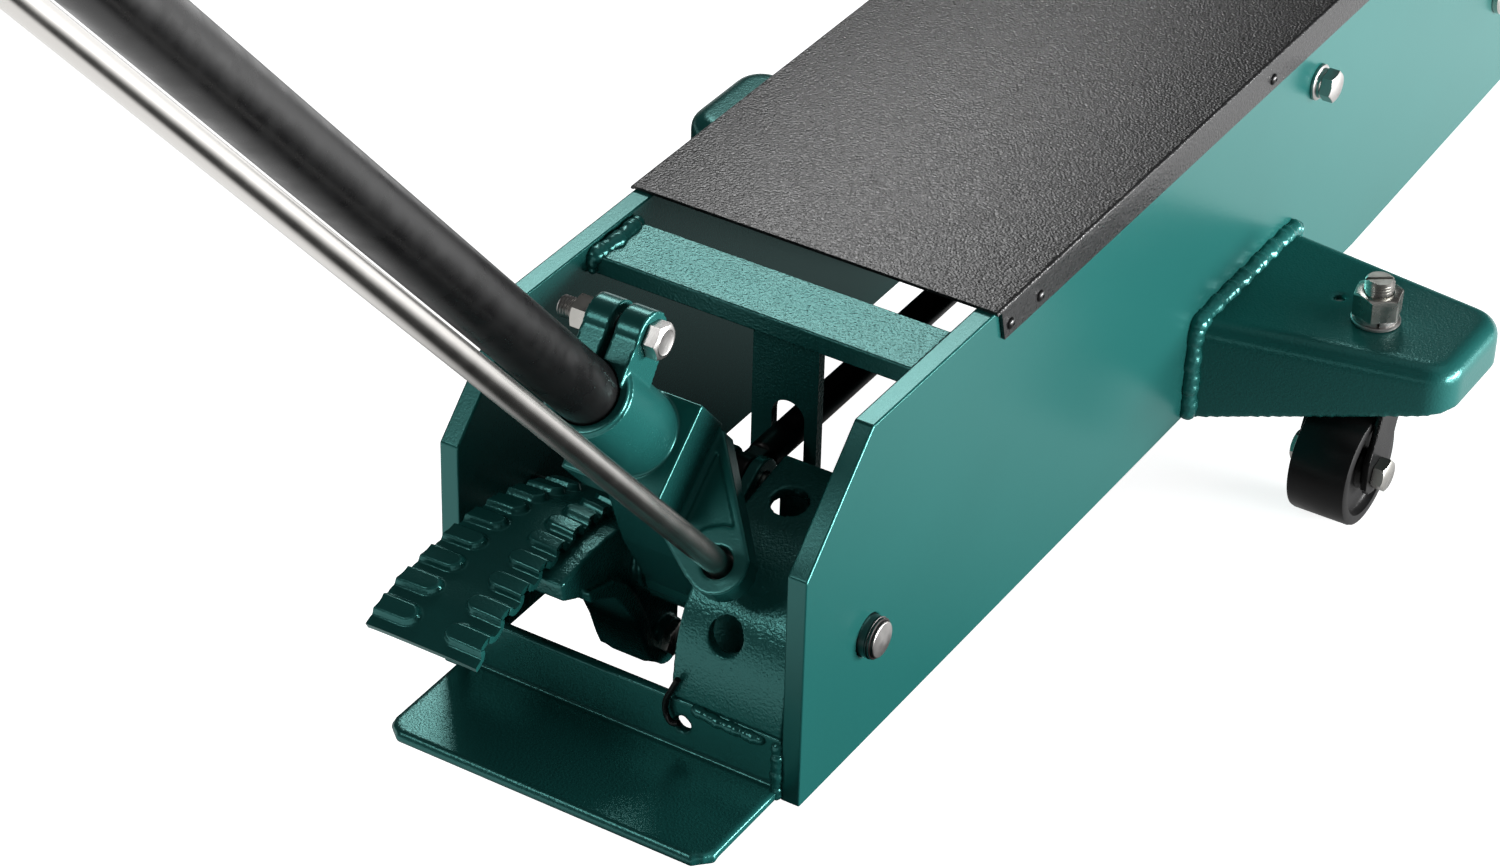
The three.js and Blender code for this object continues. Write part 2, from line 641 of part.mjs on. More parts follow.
function saddleCarrier() {
  const block = prism('x', roundedOutline([
    [-34, 26, 4], [-36, -50, 12], [-24, -76, 8], [-6, -76, 8], [10, -40, 20], [30, -8, 12], [30, 26, 4],
  ]), -57, 57);
  return block
    .subtract(rod('x', 14 + gap, -80, 80, 0, 0))
    .subtract(rod('x', 8 + gap, -80, 80, -15, -60))
    .subtract(rod('z', 12 + gap, -2, 40, 0, 0).intersect(box(-20, 20, -20, 20, 14.6, 40)));
}
piece('saddle_carrier', greenPaint, saddleCarrier(), saddle);
piece('carrier_pin', zinc, rod('x', 14, -78, 78, 0, 0), saddle);
piece('level_pin', zinc, rod('x', 8, -95, 95, -15, -60), saddle);

function saddlePad() {
  let pad = turned('z', [
    [0, 16], [11.7, 16], [11.7, 26.3], [44, 26.3], [52, 34], [52, 52], [46, 52], [44, 42], [0, 42],
  ], 0, 0, 24);
  for (let i = 0; i < 4; i += 1) {
    const slot = box(-9, 9, 38, 60, 43, 60).rotate([0, 0, 45 + 90 * i]);
    pad = pad.subtract(slot);
  }
  return pad;
}
piece('saddle_pad', steel, saddlePad(), saddle);

// ---- rollers ----
function frontWheel() {
  const r = frontWheelRadius;
  const w = frontWheelWidth;
  return turned('x', [
    [15 + gap, 0], [r, 0], [r, w], [r - 12, w], [r - 15, w - 6], [32, w - 6], [30, w],
    [15 + gap, w], [15 + gap, 0],
  ], 0, 0, 28);
}
for (const [name, side] of sides) {
  const wheel = piece(`front_wheel_${name}`, blackPaint, mirrored(frontWheel(), side), group);
  wheel.position.set(side * (outerX + 3), noseY, axleZ);
}

// castor frame: stud through the outrigger, fork, axle bolt and wheel
function castorFork() {
  const top = 60.5;
  const legs = prism('x', roundedOutline([
    [-18, top - 8, 0], [-castorTrail - 14, -groundGap + castorRadius + 8, 4],
    [-castorTrail - 14, -groundGap + castorRadius - 12, 8],
    [-castorTrail + 14, -groundGap + castorRadius - 12, 8],
    [-castorTrail + 18, -groundGap + castorRadius + 12, 8], [18, top - 8, 0],
  ]), castorWidth / 2 + 1, castorWidth / 2 + 5);
  const plate = prism('z', roundedOutline([
    [-castorWidth / 2 - 5, -18, 4], [castorWidth / 2 + 5, -18, 4],
    [castorWidth / 2 + 5, 18, 4], [-castorWidth / 2 - 5, 18, 4],
  ]), top - 13, top - 8);
  const race = rod('z', 20, top - 8.5, top, 0, 0);
  const stud = rod('z', 9, top - 9, 99, 0, 0);
  return legs.add(legs.mirror([1, 0, 0])).add(plate).add(race).add(stud)
    .subtract(rod('x', 6 + gap, -40, 40, -castorTrail, castorRadius - groundGap, 24));
}

function castorNut() {
  return hexPrism('z', 27, 69.5, 84).add(rod('z', 15, 67 + gap, 70, 0, 0))
    .subtract(rod('z', 9 + gap, 60, 90, 0, 0));
}

function castorAxle() {
  const half = castorWidth / 2 + 5;
  const y = -castorTrail;
  const z = castorRadius - groundGap;
  return rod('x', 5.8, -half - 6, half + 1, y, z)
    .add(hexPrism('x', 18, half + gap, half + 8, y, z))
    .add(hexPrism('x', 18, -half - 6, -half - gap, y, z));
}

function castorWheel() {
  const r = castorRadius;
  const w = castorWidth / 2;
  return turned('x', [
    [6.2, -w], [12, -w], [13, -w + 4], [r - 9, -w + 4], [r - 7, -w], [r, -w],
    [r, w], [r - 7, w], [r - 9, w - 4], [13, w - 4], [12, w], [6.2, w], [6.2, -w],
  ], 0, 0, 24);
}

for (const [name, side] of sides) {
  const castor = new THREE.Group();
  castor.position.set(side * stemX, stemY, 0);
  group.add(castor);
  piece(`castor_fork_${name}`, blackPaint, mirrored(castorFork(), side), castor);
  piece(`castor_nut_${name}`, zinc, castorNut(), castor);
  piece(`castor_axle_${name}`, zinc, mirrored(castorAxle(), side), castor);
  const wheel = piece(`castor_wheel_${name}`, blackPaint, castorWheel(), castor);
  wheel.position.set(0, -castorTrail, castorRadius - groundGap);
}

// the floor is z = 0 and the origin is under the middle of the whole jack
group.updateMatrixWorld(true);
const bounds = new THREE.Box3().setFromObject(group, true);
group.position.set(0, -(bounds.min.y + bounds.max.y) / 2, groundGap);

export default group;
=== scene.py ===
import bmesh
import bpy
import math
from mathutils import Matrix, Vector


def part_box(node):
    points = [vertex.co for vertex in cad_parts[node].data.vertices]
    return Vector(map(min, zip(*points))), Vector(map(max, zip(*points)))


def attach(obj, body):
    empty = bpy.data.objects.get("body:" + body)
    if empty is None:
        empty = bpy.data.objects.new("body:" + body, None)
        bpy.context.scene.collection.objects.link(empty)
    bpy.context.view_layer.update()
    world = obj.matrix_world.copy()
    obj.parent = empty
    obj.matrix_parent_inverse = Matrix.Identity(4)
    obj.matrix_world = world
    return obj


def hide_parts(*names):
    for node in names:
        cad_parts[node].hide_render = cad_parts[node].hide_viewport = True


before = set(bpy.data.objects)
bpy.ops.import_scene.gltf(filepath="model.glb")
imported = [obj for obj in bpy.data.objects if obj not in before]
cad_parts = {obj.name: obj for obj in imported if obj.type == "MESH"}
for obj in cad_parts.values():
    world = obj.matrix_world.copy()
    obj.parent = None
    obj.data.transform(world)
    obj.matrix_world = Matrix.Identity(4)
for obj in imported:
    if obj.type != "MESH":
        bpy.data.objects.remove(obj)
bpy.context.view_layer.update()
mm = 0.001
print("frame loaded")

# local frames in millimetres: the chassis starts at the side plates' rear lower corner
plateLow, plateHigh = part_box("side_plate_right")
chassisFrame = Matrix.Translation((0, plateLow.y, plateHigh.z - 210 * mm)) @ Matrix.Scale(mm, 4)


def turnedFrame(y, z, degrees):
    return chassisFrame @ Matrix.Translation((0, y, z)) @ Matrix.Rotation(math.radians(degrees), 4, "X")


mainPivot = {"y": 67, "z": 73}
handleLean = 48.4  # degrees from the floor
handleFrame = turnedFrame(mainPivot["y"], mainPivot["z"], 90 - handleLean)
frontWheel = {"radius": 75, "width": 44, "rim": 12, "spokes": 6, "inner": 118, "y": 1400, "z": 21}
liftArm = {"y": 900, "z": 150, "length": 470, "angle": math.radians(-11)}
saddleFrame = turnedFrame(liftArm["y"] + liftArm["length"] * math.cos(liftArm["angle"]),
                          liftArm["z"] + liftArm["length"] * math.sin(liftArm["angle"]), 0)
sides = {"left": -1, "right": 1}


def newMaterial(name, color, roughness, metallic=0.0, specular=0.5):
    material = bpy.data.materials.new(name)
    material.use_nodes = True
    shader = material.node_tree.nodes["Principled BSDF"]
    shader.inputs["Base Color"].default_value = (*color, 1)
    shader.inputs["Roughness"].default_value = roughness
    shader.inputs["Metallic"].default_value = metallic
    shader.inputs["Specular IOR Level"].default_value = specular
    return material, shader


def noiseNode(tree, scale, detail=3.0, stretch=(1, 1, 1)):
    coords = tree.nodes.new("ShaderNodeTexCoord")
    mapping = tree.nodes.new("ShaderNodeMapping")
    mapping.inputs["Scale"].default_value = stretch
    noise = tree.nodes.new("ShaderNodeTexNoise")
    noise.inputs["Scale"].default_value = scale
    noise.inputs["Detail"].default_value = detail
    tree.links.new(coords.outputs["Object"], mapping.inputs["Vector"])
    tree.links.new(mapping.outputs["Vector"], noise.inputs["Vector"])
    return noise


def addBump(material, shader, layers):
    # each layer is scale, distance, detail, stretch
    tree = material.node_tree
    previous = None
    for scale, distance, detail, stretch in layers:
        noise = noiseNode(tree, scale, detail, stretch)
        bump = tree.nodes.new("ShaderNodeBump")
        bump.inputs["Distance"].default_value = distance
        bump.inputs["Strength"].default_value = 1.0
        tree.links.new(noise.outputs["Fac"], bump.inputs["Height"])
        if previous:
            tree.links.new(previous.outputs["Normal"], bump.inputs["Normal"])
        previous = bump
    tree.links.new(previous.outputs["Normal"], shader.inputs["Normal"])


def addRamp(material, shader, socket, scale, low, high, span=(0.35, 0.65)):
    tree = material.node_tree
    noise = noiseNode(tree, scale, 4.0)
    ramp = tree.nodes.new("ShaderNodeValToRGB")
    ramp.color_ramp.elements[0].position = span[0]
    ramp.color_ramp.elements[1].position = span[1]
    ramp.color_ramp.elements[0].color = (*low, 1)
    ramp.color_ramp.elements[1].color = (*high, 1)
    tree.links.new(noise.outputs["Fac"], ramp.inputs["Fac"])
    tree.links.new(ramp.outputs["Color"], shader.inputs[socket])


even = (1, 1, 1)  # a pattern that isn't drawn out along any axis
paint = {"deep": (0.014, 0.12, 0.11), "pale": (0.017, 0.14, 0.129), "roughness": 0.27, "metallic": 0.5}


def greenPaint(name, peel, grain):
    # peel and grain are how deep the paint's large and small ripples are, in metres
    material, shader = newMaterial(name, paint["deep"], paint["roughness"], paint["metallic"])
    addRamp(material, shader, "Base Color", 5, paint["deep"], paint["pale"], (0.2, 0.8))
    addBump(material, shader, [(650, peel, 1, even), (1500, grain, 1, even)])
    return material


smoothGreen = greenPaint("smoothGreen", 0.00005, 0.00001)
peelGreen = greenPaint("peelGreen", 0.00014, 0.00003)
castGreen = greenPaint("castGreen", 0.0003, 0.00006)


leather = {"color": (0.008, 0.008, 0.0084), "cells": 700, "depth": 0.0003, "fineDepth": 0.0001}


def coverBlack():
    material, shader = newMaterial("coverBlack", leather["color"], 0.3)
    tree = material.node_tree
    coords = tree.nodes.new("ShaderNodeTexCoord")
    cells = tree.nodes.new("ShaderNodeTexVoronoi")
    cells.feature = "SMOOTH_F1"
    cells.inputs["Scale"].default_value = leather["cells"]
    cells.inputs["Smoothness"].default_value = 0.7
    tree.links.new(coords.outputs["Object"], cells.inputs["Vector"])
    bump = tree.nodes.new("ShaderNodeBump")
    bump.inputs["Distance"].default_value = leather["depth"]
    bump.inputs["Strength"].default_value = 0.9
    bump.invert = True
    tree.links.new(cells.outputs["Distance"], bump.inputs["Height"])
    fine = noiseNode(tree, 900, 3)
    fineBump = tree.nodes.new("ShaderNodeBump")
    fineBump.inputs["Distance"].default_value = leather["fineDepth"]
    tree.links.new(fine.outputs["Fac"], fineBump.inputs["Height"])
    tree.links.new(bump.outputs["Normal"], fineBump.inputs["Normal"])
    tree.links.new(fineBump.outputs["Normal"], shader.inputs["Normal"])
    addRamp(material, shader, "Roughness", 500, (0.25, 0.25, 0.25), (0.36, 0.36, 0.36))
    return material


def plainFinish(name, color, roughness, bump, metallic=0.0, spread=0.06, specular=0.5, stretch=even):
    # bump is the scale, depth and detail of the surface's ripples
    material, shader = newMaterial(name, color, roughness, metallic, specular)
    addRamp(material, shader, "Roughness", 60, (roughness - spread,) * 3, (roughness + spread,) * 3)
    addBump(material, shader, [(*bump, stretch)])
    return material


coverFinish = coverBlack()
tubeBlack = plainFinish("tubeBlack", (0.004, 0.004, 0.0042), 0.3, (900, 0.00001, 1), specular=0.35)
forkBlack = plainFinish("forkBlack", (0.003, 0.003, 0.0032), 0.32, (700, 0.00005, 1), specular=0.3)
wheelBlack = plainFinish("wheelBlack", (0.0035, 0.0035, 0.0037), 0.36, (600, 0.00003, 1), specular=0.3)
wheelGrey = plainFinish("wheelGrey", (0.012, 0.012, 0.013), 0.35, (240, 0.0002, 3))
zincPlate = plainFinish("zincPlate", (0.5, 0.49, 0.46), 0.28, (900, 0.00004, 3), 1.0)
chromePlate = plainFinish("chromePlate", (0.72, 0.7, 0.67), 0.24, (300, 0.000001, 2), 1.0, spread=0.012)
darkSteel = plainFinish("darkSteel", (0.13, 0.12, 0.12), 0.34, (900, 0.00003, 2), 1.0, stretch=(6, 1, 1))
pinSteel = plainFinish("pinSteel", (0.42, 0.41, 0.4), 0.36, (1200, 0.00003, 2), 1.0)
gripRubber = plainFinish("gripRubber", (0.012, 0.012, 0.013), 0.7, (1400, 0.0001, 3))
print("materials made")


def finishPiece(name, bm, place, body, material, stands=(), edge=0.0, steps=3, angle=32):
    bmesh.ops.transform(bm, matrix=place, verts=bm.verts)
    mesh = bpy.data.meshes.new(name)
    bm.to_mesh(mesh)
    bm.free()
    return finishMesh(name, mesh, body, material, stands, edge, steps, angle)


def finishMesh(name, mesh, body, material, stands=(), edge=0.0, steps=3, angle=32):
    mesh.name = name
    mesh.materials.clear()
    mesh.materials.append(material)
    mesh.shade_smooth()
    mesh.set_sharp_from_angle(angle=math.radians(angle))
    piece = bpy.data.objects.new(name, mesh)
    bpy.context.scene.collection.objects.link(piece)
    if edge:
        bevel = piece.modifiers.new("edge", "BEVEL")
        bevel.width = edge * mm
        bevel.segments = steps
        bevel.limit_method = "ANGLE"
        bevel.angle_limit = math.radians(angle)
        bevel.harden_normals = True
    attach(piece, body)
    if stands:
        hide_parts(*stands)
    return piece


def copiedNode(node):
    # a merged copy of a CAD node with its flat faces whole again
    bm = bmesh.new()
    bm.from_mesh(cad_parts[node].data)
    bmesh.ops.remove_doubles(bm, verts=bm.verts, dist=0.01 * mm)
    bmesh.ops.dissolve_limit(bm, angle_limit=math.radians(1), verts=bm.verts, edges=bm.edges)
    return bm


def refinedNode(node, body, material, edge):
    finishPiece(node + "_fine", copiedNode(node), Matrix.Identity(4), body, material, [node],
                edge)


def alongAxis(axis):
    if axis == "x":
        return Matrix.Rotation(math.radians(90), 4, "Y")
    if axis == "y":
        return Matrix.Rotation(math.radians(-90), 4, "X")
    return Matrix.Identity(4)


def axisPoint(axis, t, u, v):
    if axis == "x":
        return Vector((t, u, v))
    if axis == "y":
        return Vector((u, t, v))
    return Vector((u, v, t))


def addRod(bm, axis, radius, start, end, u=0.0, v=0.0, count=64):
    spot = Matrix.Translation(axisPoint(axis, (start + end) / 2, u, v)) @ alongAxis(axis)
    bmesh.ops.create_cone(bm, cap_ends=True, segments=count, radius1=radius, radius2=radius,
                          depth=end - start,
                          matrix=spot)


def addBox(bm, low, high):
    low, high = Vector(low), Vector(high)
    size = high - low
    spot = Matrix.Translation((low + high) / 2) @ Matrix.Diagonal((size.x, size.y, size.z, 1))
    bmesh.ops.create_cube(bm, size=1, matrix=spot)


def addPrism(bm, axis, points, start, end):
    # points are on the two other axes, in X, Y, Z order
    corners = [bm.verts.new(axisPoint(axis, start, u, v)) for u, v in points]
    face = bm.faces.new(corners)
    pushed = bmesh.ops.extrude_face_region(bm, geom=[face])
    moved = [item for item in pushed["geom"] if isinstance(item, bmesh.types.BMVert)]
    bmesh.ops.translate(bm, verts=moved, vec=axisPoint(axis, end - start, 0, 0))
    bmesh.ops.recalc_face_normals(bm, faces=bm.faces)


def turnedMesh(profile, count=64):
    # profile is a list of radius, height, turned about Z
    bm = bmesh.new()
    start = [bm.verts.new((radius, 0, height)) for radius, height in profile]
    edges = [bm.edges.new(pair) for pair in zip(start, start[1:])]
    bmesh.ops.spin(bm, geom=start + edges, axis=(0, 0, 1), cent=(0, 0, 0), steps=count, angle=math.tau,
                   use_merge=True)
    bmesh.ops.remove_doubles(bm, verts=bm.verts, dist=0.001)
    bmesh.ops.recalc_face_normals(bm, faces=bm.faces)
    return bm


def turnedPiece(name, axis, profile, place, body, material, stands=(), slot=None, u=0.0, v=0.0, count=64,
                angle=32):
    spot = Matrix.Translation(axisPoint(axis, 0, u, v)) @ alongAxis(axis)
    return finishPiece(name, turnedMesh(profile, count), place @ spot, body, material, stands,
                       angle=angle)


def outwardPiece(name, side, profile, spot, material, count=64):
    # a small turned piece that faces out from one side of the frame
    bm = turnedMesh(profile, count)
    place = chassisFrame @ Matrix.Diagonal((sides[side], 1, 1, 1)) @ Matrix.Translation(spot) @ alongAxis("x")
    bmesh.ops.transform(bm, matrix=place, verts=bm.verts)
    bmesh.ops.recalc_face_normals(bm, faces=bm.faces)
    finishPiece(name, bm, Matrix.Identity(4), "chassis", material)


def looseObject(bm):
    mesh = bpy.data.meshes.new("loose")
    bm.to_mesh(mesh)
    bm.free()
    thing = bpy.data.objects.new("loose", mesh)
    bpy.context.scene.collection.objects.link(thing)
    return thing


def bakedMesh(thing):
    bpy.context.view_layer.update()
    shown = thing.evaluated_get(bpy.context.evaluated_depsgraph_get())
    mesh = bpy.data.meshes.new_from_object(shown)
    bpy.data.objects.remove(thing)
    return mesh


def combined(solids, cuts=None, voxel=0.0, soften=0, operation="DIFFERENCE", keep=1.0):
    # joins overlapping closed shapes, takes the cuts out and can melt the edges like a casting
    thing = looseObject(solids)
    tool = looseObject(cuts) if cuts else None
    if tool:
        knife = thing.modifiers.new("cut", "BOOLEAN")
        knife.operation = operation
        knife.solver = "EXACT"
        knife.use_self = True
        knife.object = tool
    if voxel:
        melt = thing.modifiers.new("melt", "REMESH")
        melt.mode = "VOXEL"
        melt.voxel_size = voxel
        melt.use_smooth_shade = True
    if soften:
        smooth = thing.modifiers.new("soften", "SMOOTH")
        smooth.factor = 0.5
        smooth.iterations = soften
    if keep < 1:
        thin = thing.modifiers.new("thin", "DECIMATE")
        thin.ratio = keep
    mesh = bakedMesh(thing)
    if tool:
        bpy.data.objects.remove(tool)
    return mesh


def cutPiece(name, solids, cuts, place, body, material, stands=(), edge=0.0, steps=3, angle=32):
    mesh = combined(solids, cuts)
    mesh.transform(place)
    return finishMesh(name, mesh, body, material, stands, edge, steps, angle)


def castPiece(name, solids, cuts, place, body, material, stands=(), voxel=1.2, soften=2, keep=1.0):
    mesh = combined(solids, cuts, voxel, soften, keep=keep)
    mesh.transform(place)
    return finishMesh(name, mesh, body, material, stands, angle=60)


def hexMesh(flats, height):
    # a hexagon standing on z = 0, with the corners of its top turned off at 30 degrees
    bm = bmesh.new()
    addRod(bm, "z", flats / math.sqrt(3), 0, height, count=6)
    radius = flats / 2 * 0.97
    reach = flats * 0.62
    drop = (reach - radius) * math.tan(math.radians(30))
    tool = turnedMesh([(0, -1), (reach, -1), (reach, height - drop), (radius, height), (0, height)], 48)
    mesh = combined(bm, tool, operation="INTERSECT")
    done = bmesh.new()
    done.from_mesh(mesh)
    bpy.data.meshes.remove(mesh)
    return done


def joined(bm, other, matrix=None):
    if matrix:
        bmesh.ops.transform(other, matrix=matrix, verts=other.verts)
    mesh = bpy.data.meshes.new("part")
    other.to_mesh(mesh)
    other.free()
    bm.from_mesh(mesh)
    bpy.data.meshes.remove(mesh)


def roundEdges(bm, edges, offset, segments):
    bmesh.ops.bevel(bm, geom=edges, offset=offset, offset_type="OFFSET", affect="EDGES", segments=segments,
                    profile=0.5, material=-1)


def addThread(bm, axis, radius, start, end, pitch, u=0.0, v=0.0, depth=0.6):
    turns = max(1, int((end - start) / pitch))
    profile = [(0, start)]
    for i in range(turns):
        profile += [(radius - depth, start + i * pitch), (radius, start + (i + 0.5) * pitch)]
    profile += [(radius - depth, start + turns * pitch), (radius - 1.4, end), (0, end)]
    joined(bm, turnedMesh(profile, 40), Matrix.Translation(axisPoint(axis, 0, u, v)) @ alongAxis(axis))


def weldBead(name, points, radius):
    # overlapping blobs along a path, melted into one rippled bead
    bm = bmesh.new()
    path = [Vector(point) for point in points]
    step = radius * 0.4
    index = 0
    for a, b in zip(path, path[1:]):
        length = (b - a).length
        count = max(1, round(length / step))
        for i in range(count):
            index += 1
            wobble = Vector((math.sin(index * 2.3), math.sin(index * 1.7 + 1), math.sin(index * 3.1)))
            size = radius * (0.93 + 0.1 * math.sin(index * 0.9) + 0.05 * math.sin(index * 2.7))
            spot = Matrix.Translation(a.lerp(b, i / count) + wobble * radius * 0.07)
            bmesh.ops.create_icosphere(bm, subdivisions=2, radius=size, matrix=spot)
    castPiece(name, bm, None, chassisFrame, "chassis", smoothGreen, voxel=max(0.55, radius * 0.13))


print("tools ready")


sidePlate = {"edge": 1.3, "inner": 103, "outer": 115}
plateOutline = [
    (0, 0), (680, 0), (1000, 17.6), (1180, 12), (1338, -19), (1378, -19), (1408, -20), (1428, -9), (1440, 10),
    (1442, 30), (1432, 50), (1408, 62), (1290, 88), (1000, 210), (62.5, 210), (0, 147.5),
]
# y, z and radius
plateHoles = [(67, 73, 12.3), (593, 161, 6.5), (900, 150, 22.3), (885, 90, 10.3), (1400, 21, 15.3)]


def makeSidePlate(side):
    sign = sides[side]
    plate = bmesh.new()
    addPrism(plate, "x", plateOutline, sign * sidePlate["inner"], sign * sidePlate["outer"])
    holes = bmesh.new()
    for y, z, radius in plateHoles:
        addRod(holes, "x", radius, sign * 109 - 8, sign * 109 + 8, y, z, 48)
    cutPiece("sidePlate_" + side, plate, holes, chassisFrame, "chassis", smoothGreen, ["side_plate_" + side],
             sidePlate["edge"])


for side in sides:
    makeSidePlate(side)


rearStep = {"half": 102.7, "flangeTop": 40, "low": 2.4, "high": 7.6, "rim": 3.6}
stepCorners = [(102.7, -62), (99, -69), (92, -72), (-94, -72), (-100, -69), (-102.7, -63)]


def makeRearStep():
    r = rearStep
    step = bmesh.new()
    addBox(step, (-r["half"], 0, 2), (r["half"], 6, r["flangeTop"]))
    addPrism(step, "z", [(-r["half"], 5), (r["half"], 5)] + stepCorners, r["low"], r["high"])
    # rolled rim round the outside of the step
    for a, b in [((-100, -64), (-93, -70)), ((-93, -70), (92, -70)), ((92, -70), (100, -62))]:
        a, b = Vector((*a, 3.2)), Vector((*b, 3.2))
        turn = (b - a).to_track_quat("Z", "Y").to_matrix().to_4x4()
        bmesh.ops.create_cone(step, cap_ends=True, segments=20, radius1=r["rim"], radius2=r["rim"],
                              depth=(b - a).length + 3, matrix=Matrix.Translation((a + b) / 2) @ turn)
    notch = bmesh.new()
    addRod(notch, "y", 5, -3, 9, 41, 24, 32)
    castPiece("rearStep", step, notch, chassisFrame, "chassis", peelGreen, ["rear_step_plate"],
              1.3, 3)


makeRearStep()

crossBar = bmesh.new()
addBox(crossBar, (-sidePlate["inner"] + 0.3, 127, 192), (sidePlate["inner"] - 0.3, 170, 204))
finishPiece("crossBar", crossBar, chassisFrame, "chassis", castGreen, ["top_cross_bar"], 1.4,
            4)


def smoothPath(points, parts=6):
    # even curve through the points
    path = [Vector(point) for point in points]
    result = []
    for i in range(len(path) - 1):
        p0, p1, p2, p3 = path[max(i - 1, 0)], path[i], path[i + 1], path[min(i + 2, len(path) - 1)]
        for j in range(parts):
            t = j / parts
            result.append(0.5 * (2 * p1 + (p2 - p0) * t + (2 * p0 - 5 * p1 + 4 * p2 - p3) * t * t
                                 + (3 * p1 - p0 - 3 * p2 + p3) * t ** 3))
    return result + [path[-1]]


def stripOutline(path, thickness):
    # the two long sides of a bent strip seen from its edge
    left, right = [], []
    for i, point in enumerate(path):
        along = (path[min(i + 1, len(path) - 1)] - path[max(i - 1, 0)]).normalized()
        across = Vector((-along.y, along.x)) * thickness / 2
        left.append(point + across)
        right.insert(0, point - across)
    return [tuple(point) for point in left + right]


couplingGuard = {"thickness": 6, "left": 34, "right": 102.7, "holeRadius": 10.5}
guardPath = [(3, 40.4), (4, 56), (7, 74), (13, 90), (22, 102), (34, 111), (48, 117), (75, 123), (112, 130)]


def makeGuard():
    g = couplingGuard
    guard = bmesh.new()
    strip = stripOutline(smoothPath(guardPath, 4), g["thickness"])
    addPrism(guard, "x", strip, g["left"], g["right"])
    # cross webs under the bend
    for y0, y1, z0, z1 in ((28, 32, 20, 107), (106, 111, 60, 128)):
        addBox(guard, (g["left"], y0, z0), (g["right"], y1, z1))
    holes = bmesh.new()
    addRod(holes, "y", g["holeRadius"], -10, 24, 62, 86)
    addRod(holes, "z", g["holeRadius"], 100, 150, 55, 82)
    castPiece("couplingGuard", guard, holes, chassisFrame, "chassis", castGreen, ["coupling_guard"],
              0.95, 2, 0.6)


makeGuard()


def makeGuidePlate():
    plate = bmesh.new()
    addBox(plate, (-10, 147, 88), (32, 153, 191.7))
    slot = bmesh.new()
    addBox(slot, (3, 140, 80), (24, 160, 130))
    addRod(slot, "y", 10.5, 140, 160, 13.5, 129)
    cutPiece("guidePlate", plate, slot, chassisFrame, "chassis", castGreen, ["guide_plate"],
             0.9)


makeGuidePlate()


outrigger = {"root": 115.3, "tip": 268, "top": 67, "wall": 6, "edge": 11, "corner": 21}


def outriggerPlan(inset):
    o = outrigger
    root, tip, corner = o["root"] + (inset - 8 if inset else 0), o["tip"] - inset, o["corner"] - inset * 0.6
    low, high = 474 + inset, 562 - inset
    points = [(root, 445 + inset)]
    for cy, start in ((low + corner, -80), (high - corner, 0)):
        for i in range(9):
            angle = math.radians(start + (80 if start else 84) * i / 8)
            points.append((tip - corner + corner * math.cos(angle), cy + corner * math.sin(angle)))
    points.append((root, 578 - inset))
    return points


def makeOutrigger(side):
    sign = sides[side]
    shell = bmesh.new()
    addPrism(shell, "z", outriggerPlan(0), 0, outrigger["top"])
    top = [edge for edge in shell.edges if all(abs(vert.co.z - outrigger["top"]) < 0.1 for vert in edge.verts)
           and max(vert.co.x for vert in edge.verts) > outrigger["root"] + 1]
    roundEdges(shell, top, outrigger["edge"], 7)
    hollow = bmesh.new()
    addPrism(hollow, "z", outriggerPlan(outrigger["wall"]), -4, outrigger["top"] - outrigger["wall"])
    addPrism(hollow, "y", [(100, -12), (100, -2.6), (115.3, -2), (274, 39.5), (280, -12)], 400, 620)
    addRod(hollow, "z", 9.3, 50, 80, 204, 508, 48)
    addRod(hollow, "z", 3.2, 50, 80, 175, 519, 32)
    mesh = combined(shell, hollow, voxel=1.6, soften=3)
    mesh.transform(chassisFrame @ Matrix.Diagonal((sign, 1, 1, 1)))
    if sign < 0:
        mesh.flip_normals()
    finishMesh("outrigger_" + side, mesh, "chassis", peelGreen, ["outrigger_" + side],
               angle=60)


for side in sides:
    makeOutrigger(side)
print("frame plates made")


# the cover's sheet with both sides folded down
topCover = {"half": 117.3, "start": 188, "end": 850, "low": 210.3, "sheet": 2, "lip": 190, "bend": 2.4}


def makeCover():
    c = topCover
    cover = bmesh.new()
    high = c["low"] + c["sheet"]
    outer = [(-c["half"], c["lip"]), (-c["half"], high), (c["half"], high), (c["half"], c["lip"])]
    inner = [(c["half"] - c["sheet"], c["lip"]), (c["half"] - c["sheet"], c["low"]),
             (c["sheet"] - c["half"], c["low"]), (c["sheet"] - c["half"], c["lip"])]
    addPrism(cover, "y", outer + inner, c["start"], c["end"])
    ends = [vert for vert in cover.verts
            if abs(abs(vert.co.x) - c["half"]) < 0.1 and abs(vert.co.z - high) < 0.1]
    folds = [edge for edge in cover.edges if abs(edge.verts[0].co.y - edge.verts[1].co.y) > 100
             and edge.verts[0] in ends and edge.verts[1] in ends]
    roundEdges(cover, folds, c["bend"] - 0.5, 5)
    corner = bmesh.new()
    addPrism(corner, "x", [(180, 209.8), (192.4, 209.8), (198, 189), (180, 189)], -130, 130)
    cutPiece("topCover", cover, corner, chassisFrame, "chassis", coverFinish, ["top_cover"],
             0.45, 2, 40)


makeCover()


screwHead = [(0, 0.1), (3.6, 0.1), (3.6, 0.5), (3.0, 1.3), (1.6, 1.9), (0.9, 2.0), (0.7, 1.5), (0, 1.4)]
for side in sides:
    for index, y in enumerate((203, 236, 520, 836)):
        spot = (topCover["half"], y, 198 if y < 800 else 200)
        outwardPiece(f"coverScrew_{side}_{index}", side, screwHead, spot, tubeBlack, 28)
print("cover made")


def mirroredProfile(profile, side):
    return [(radius, sides[side] * x) for radius, x in profile]


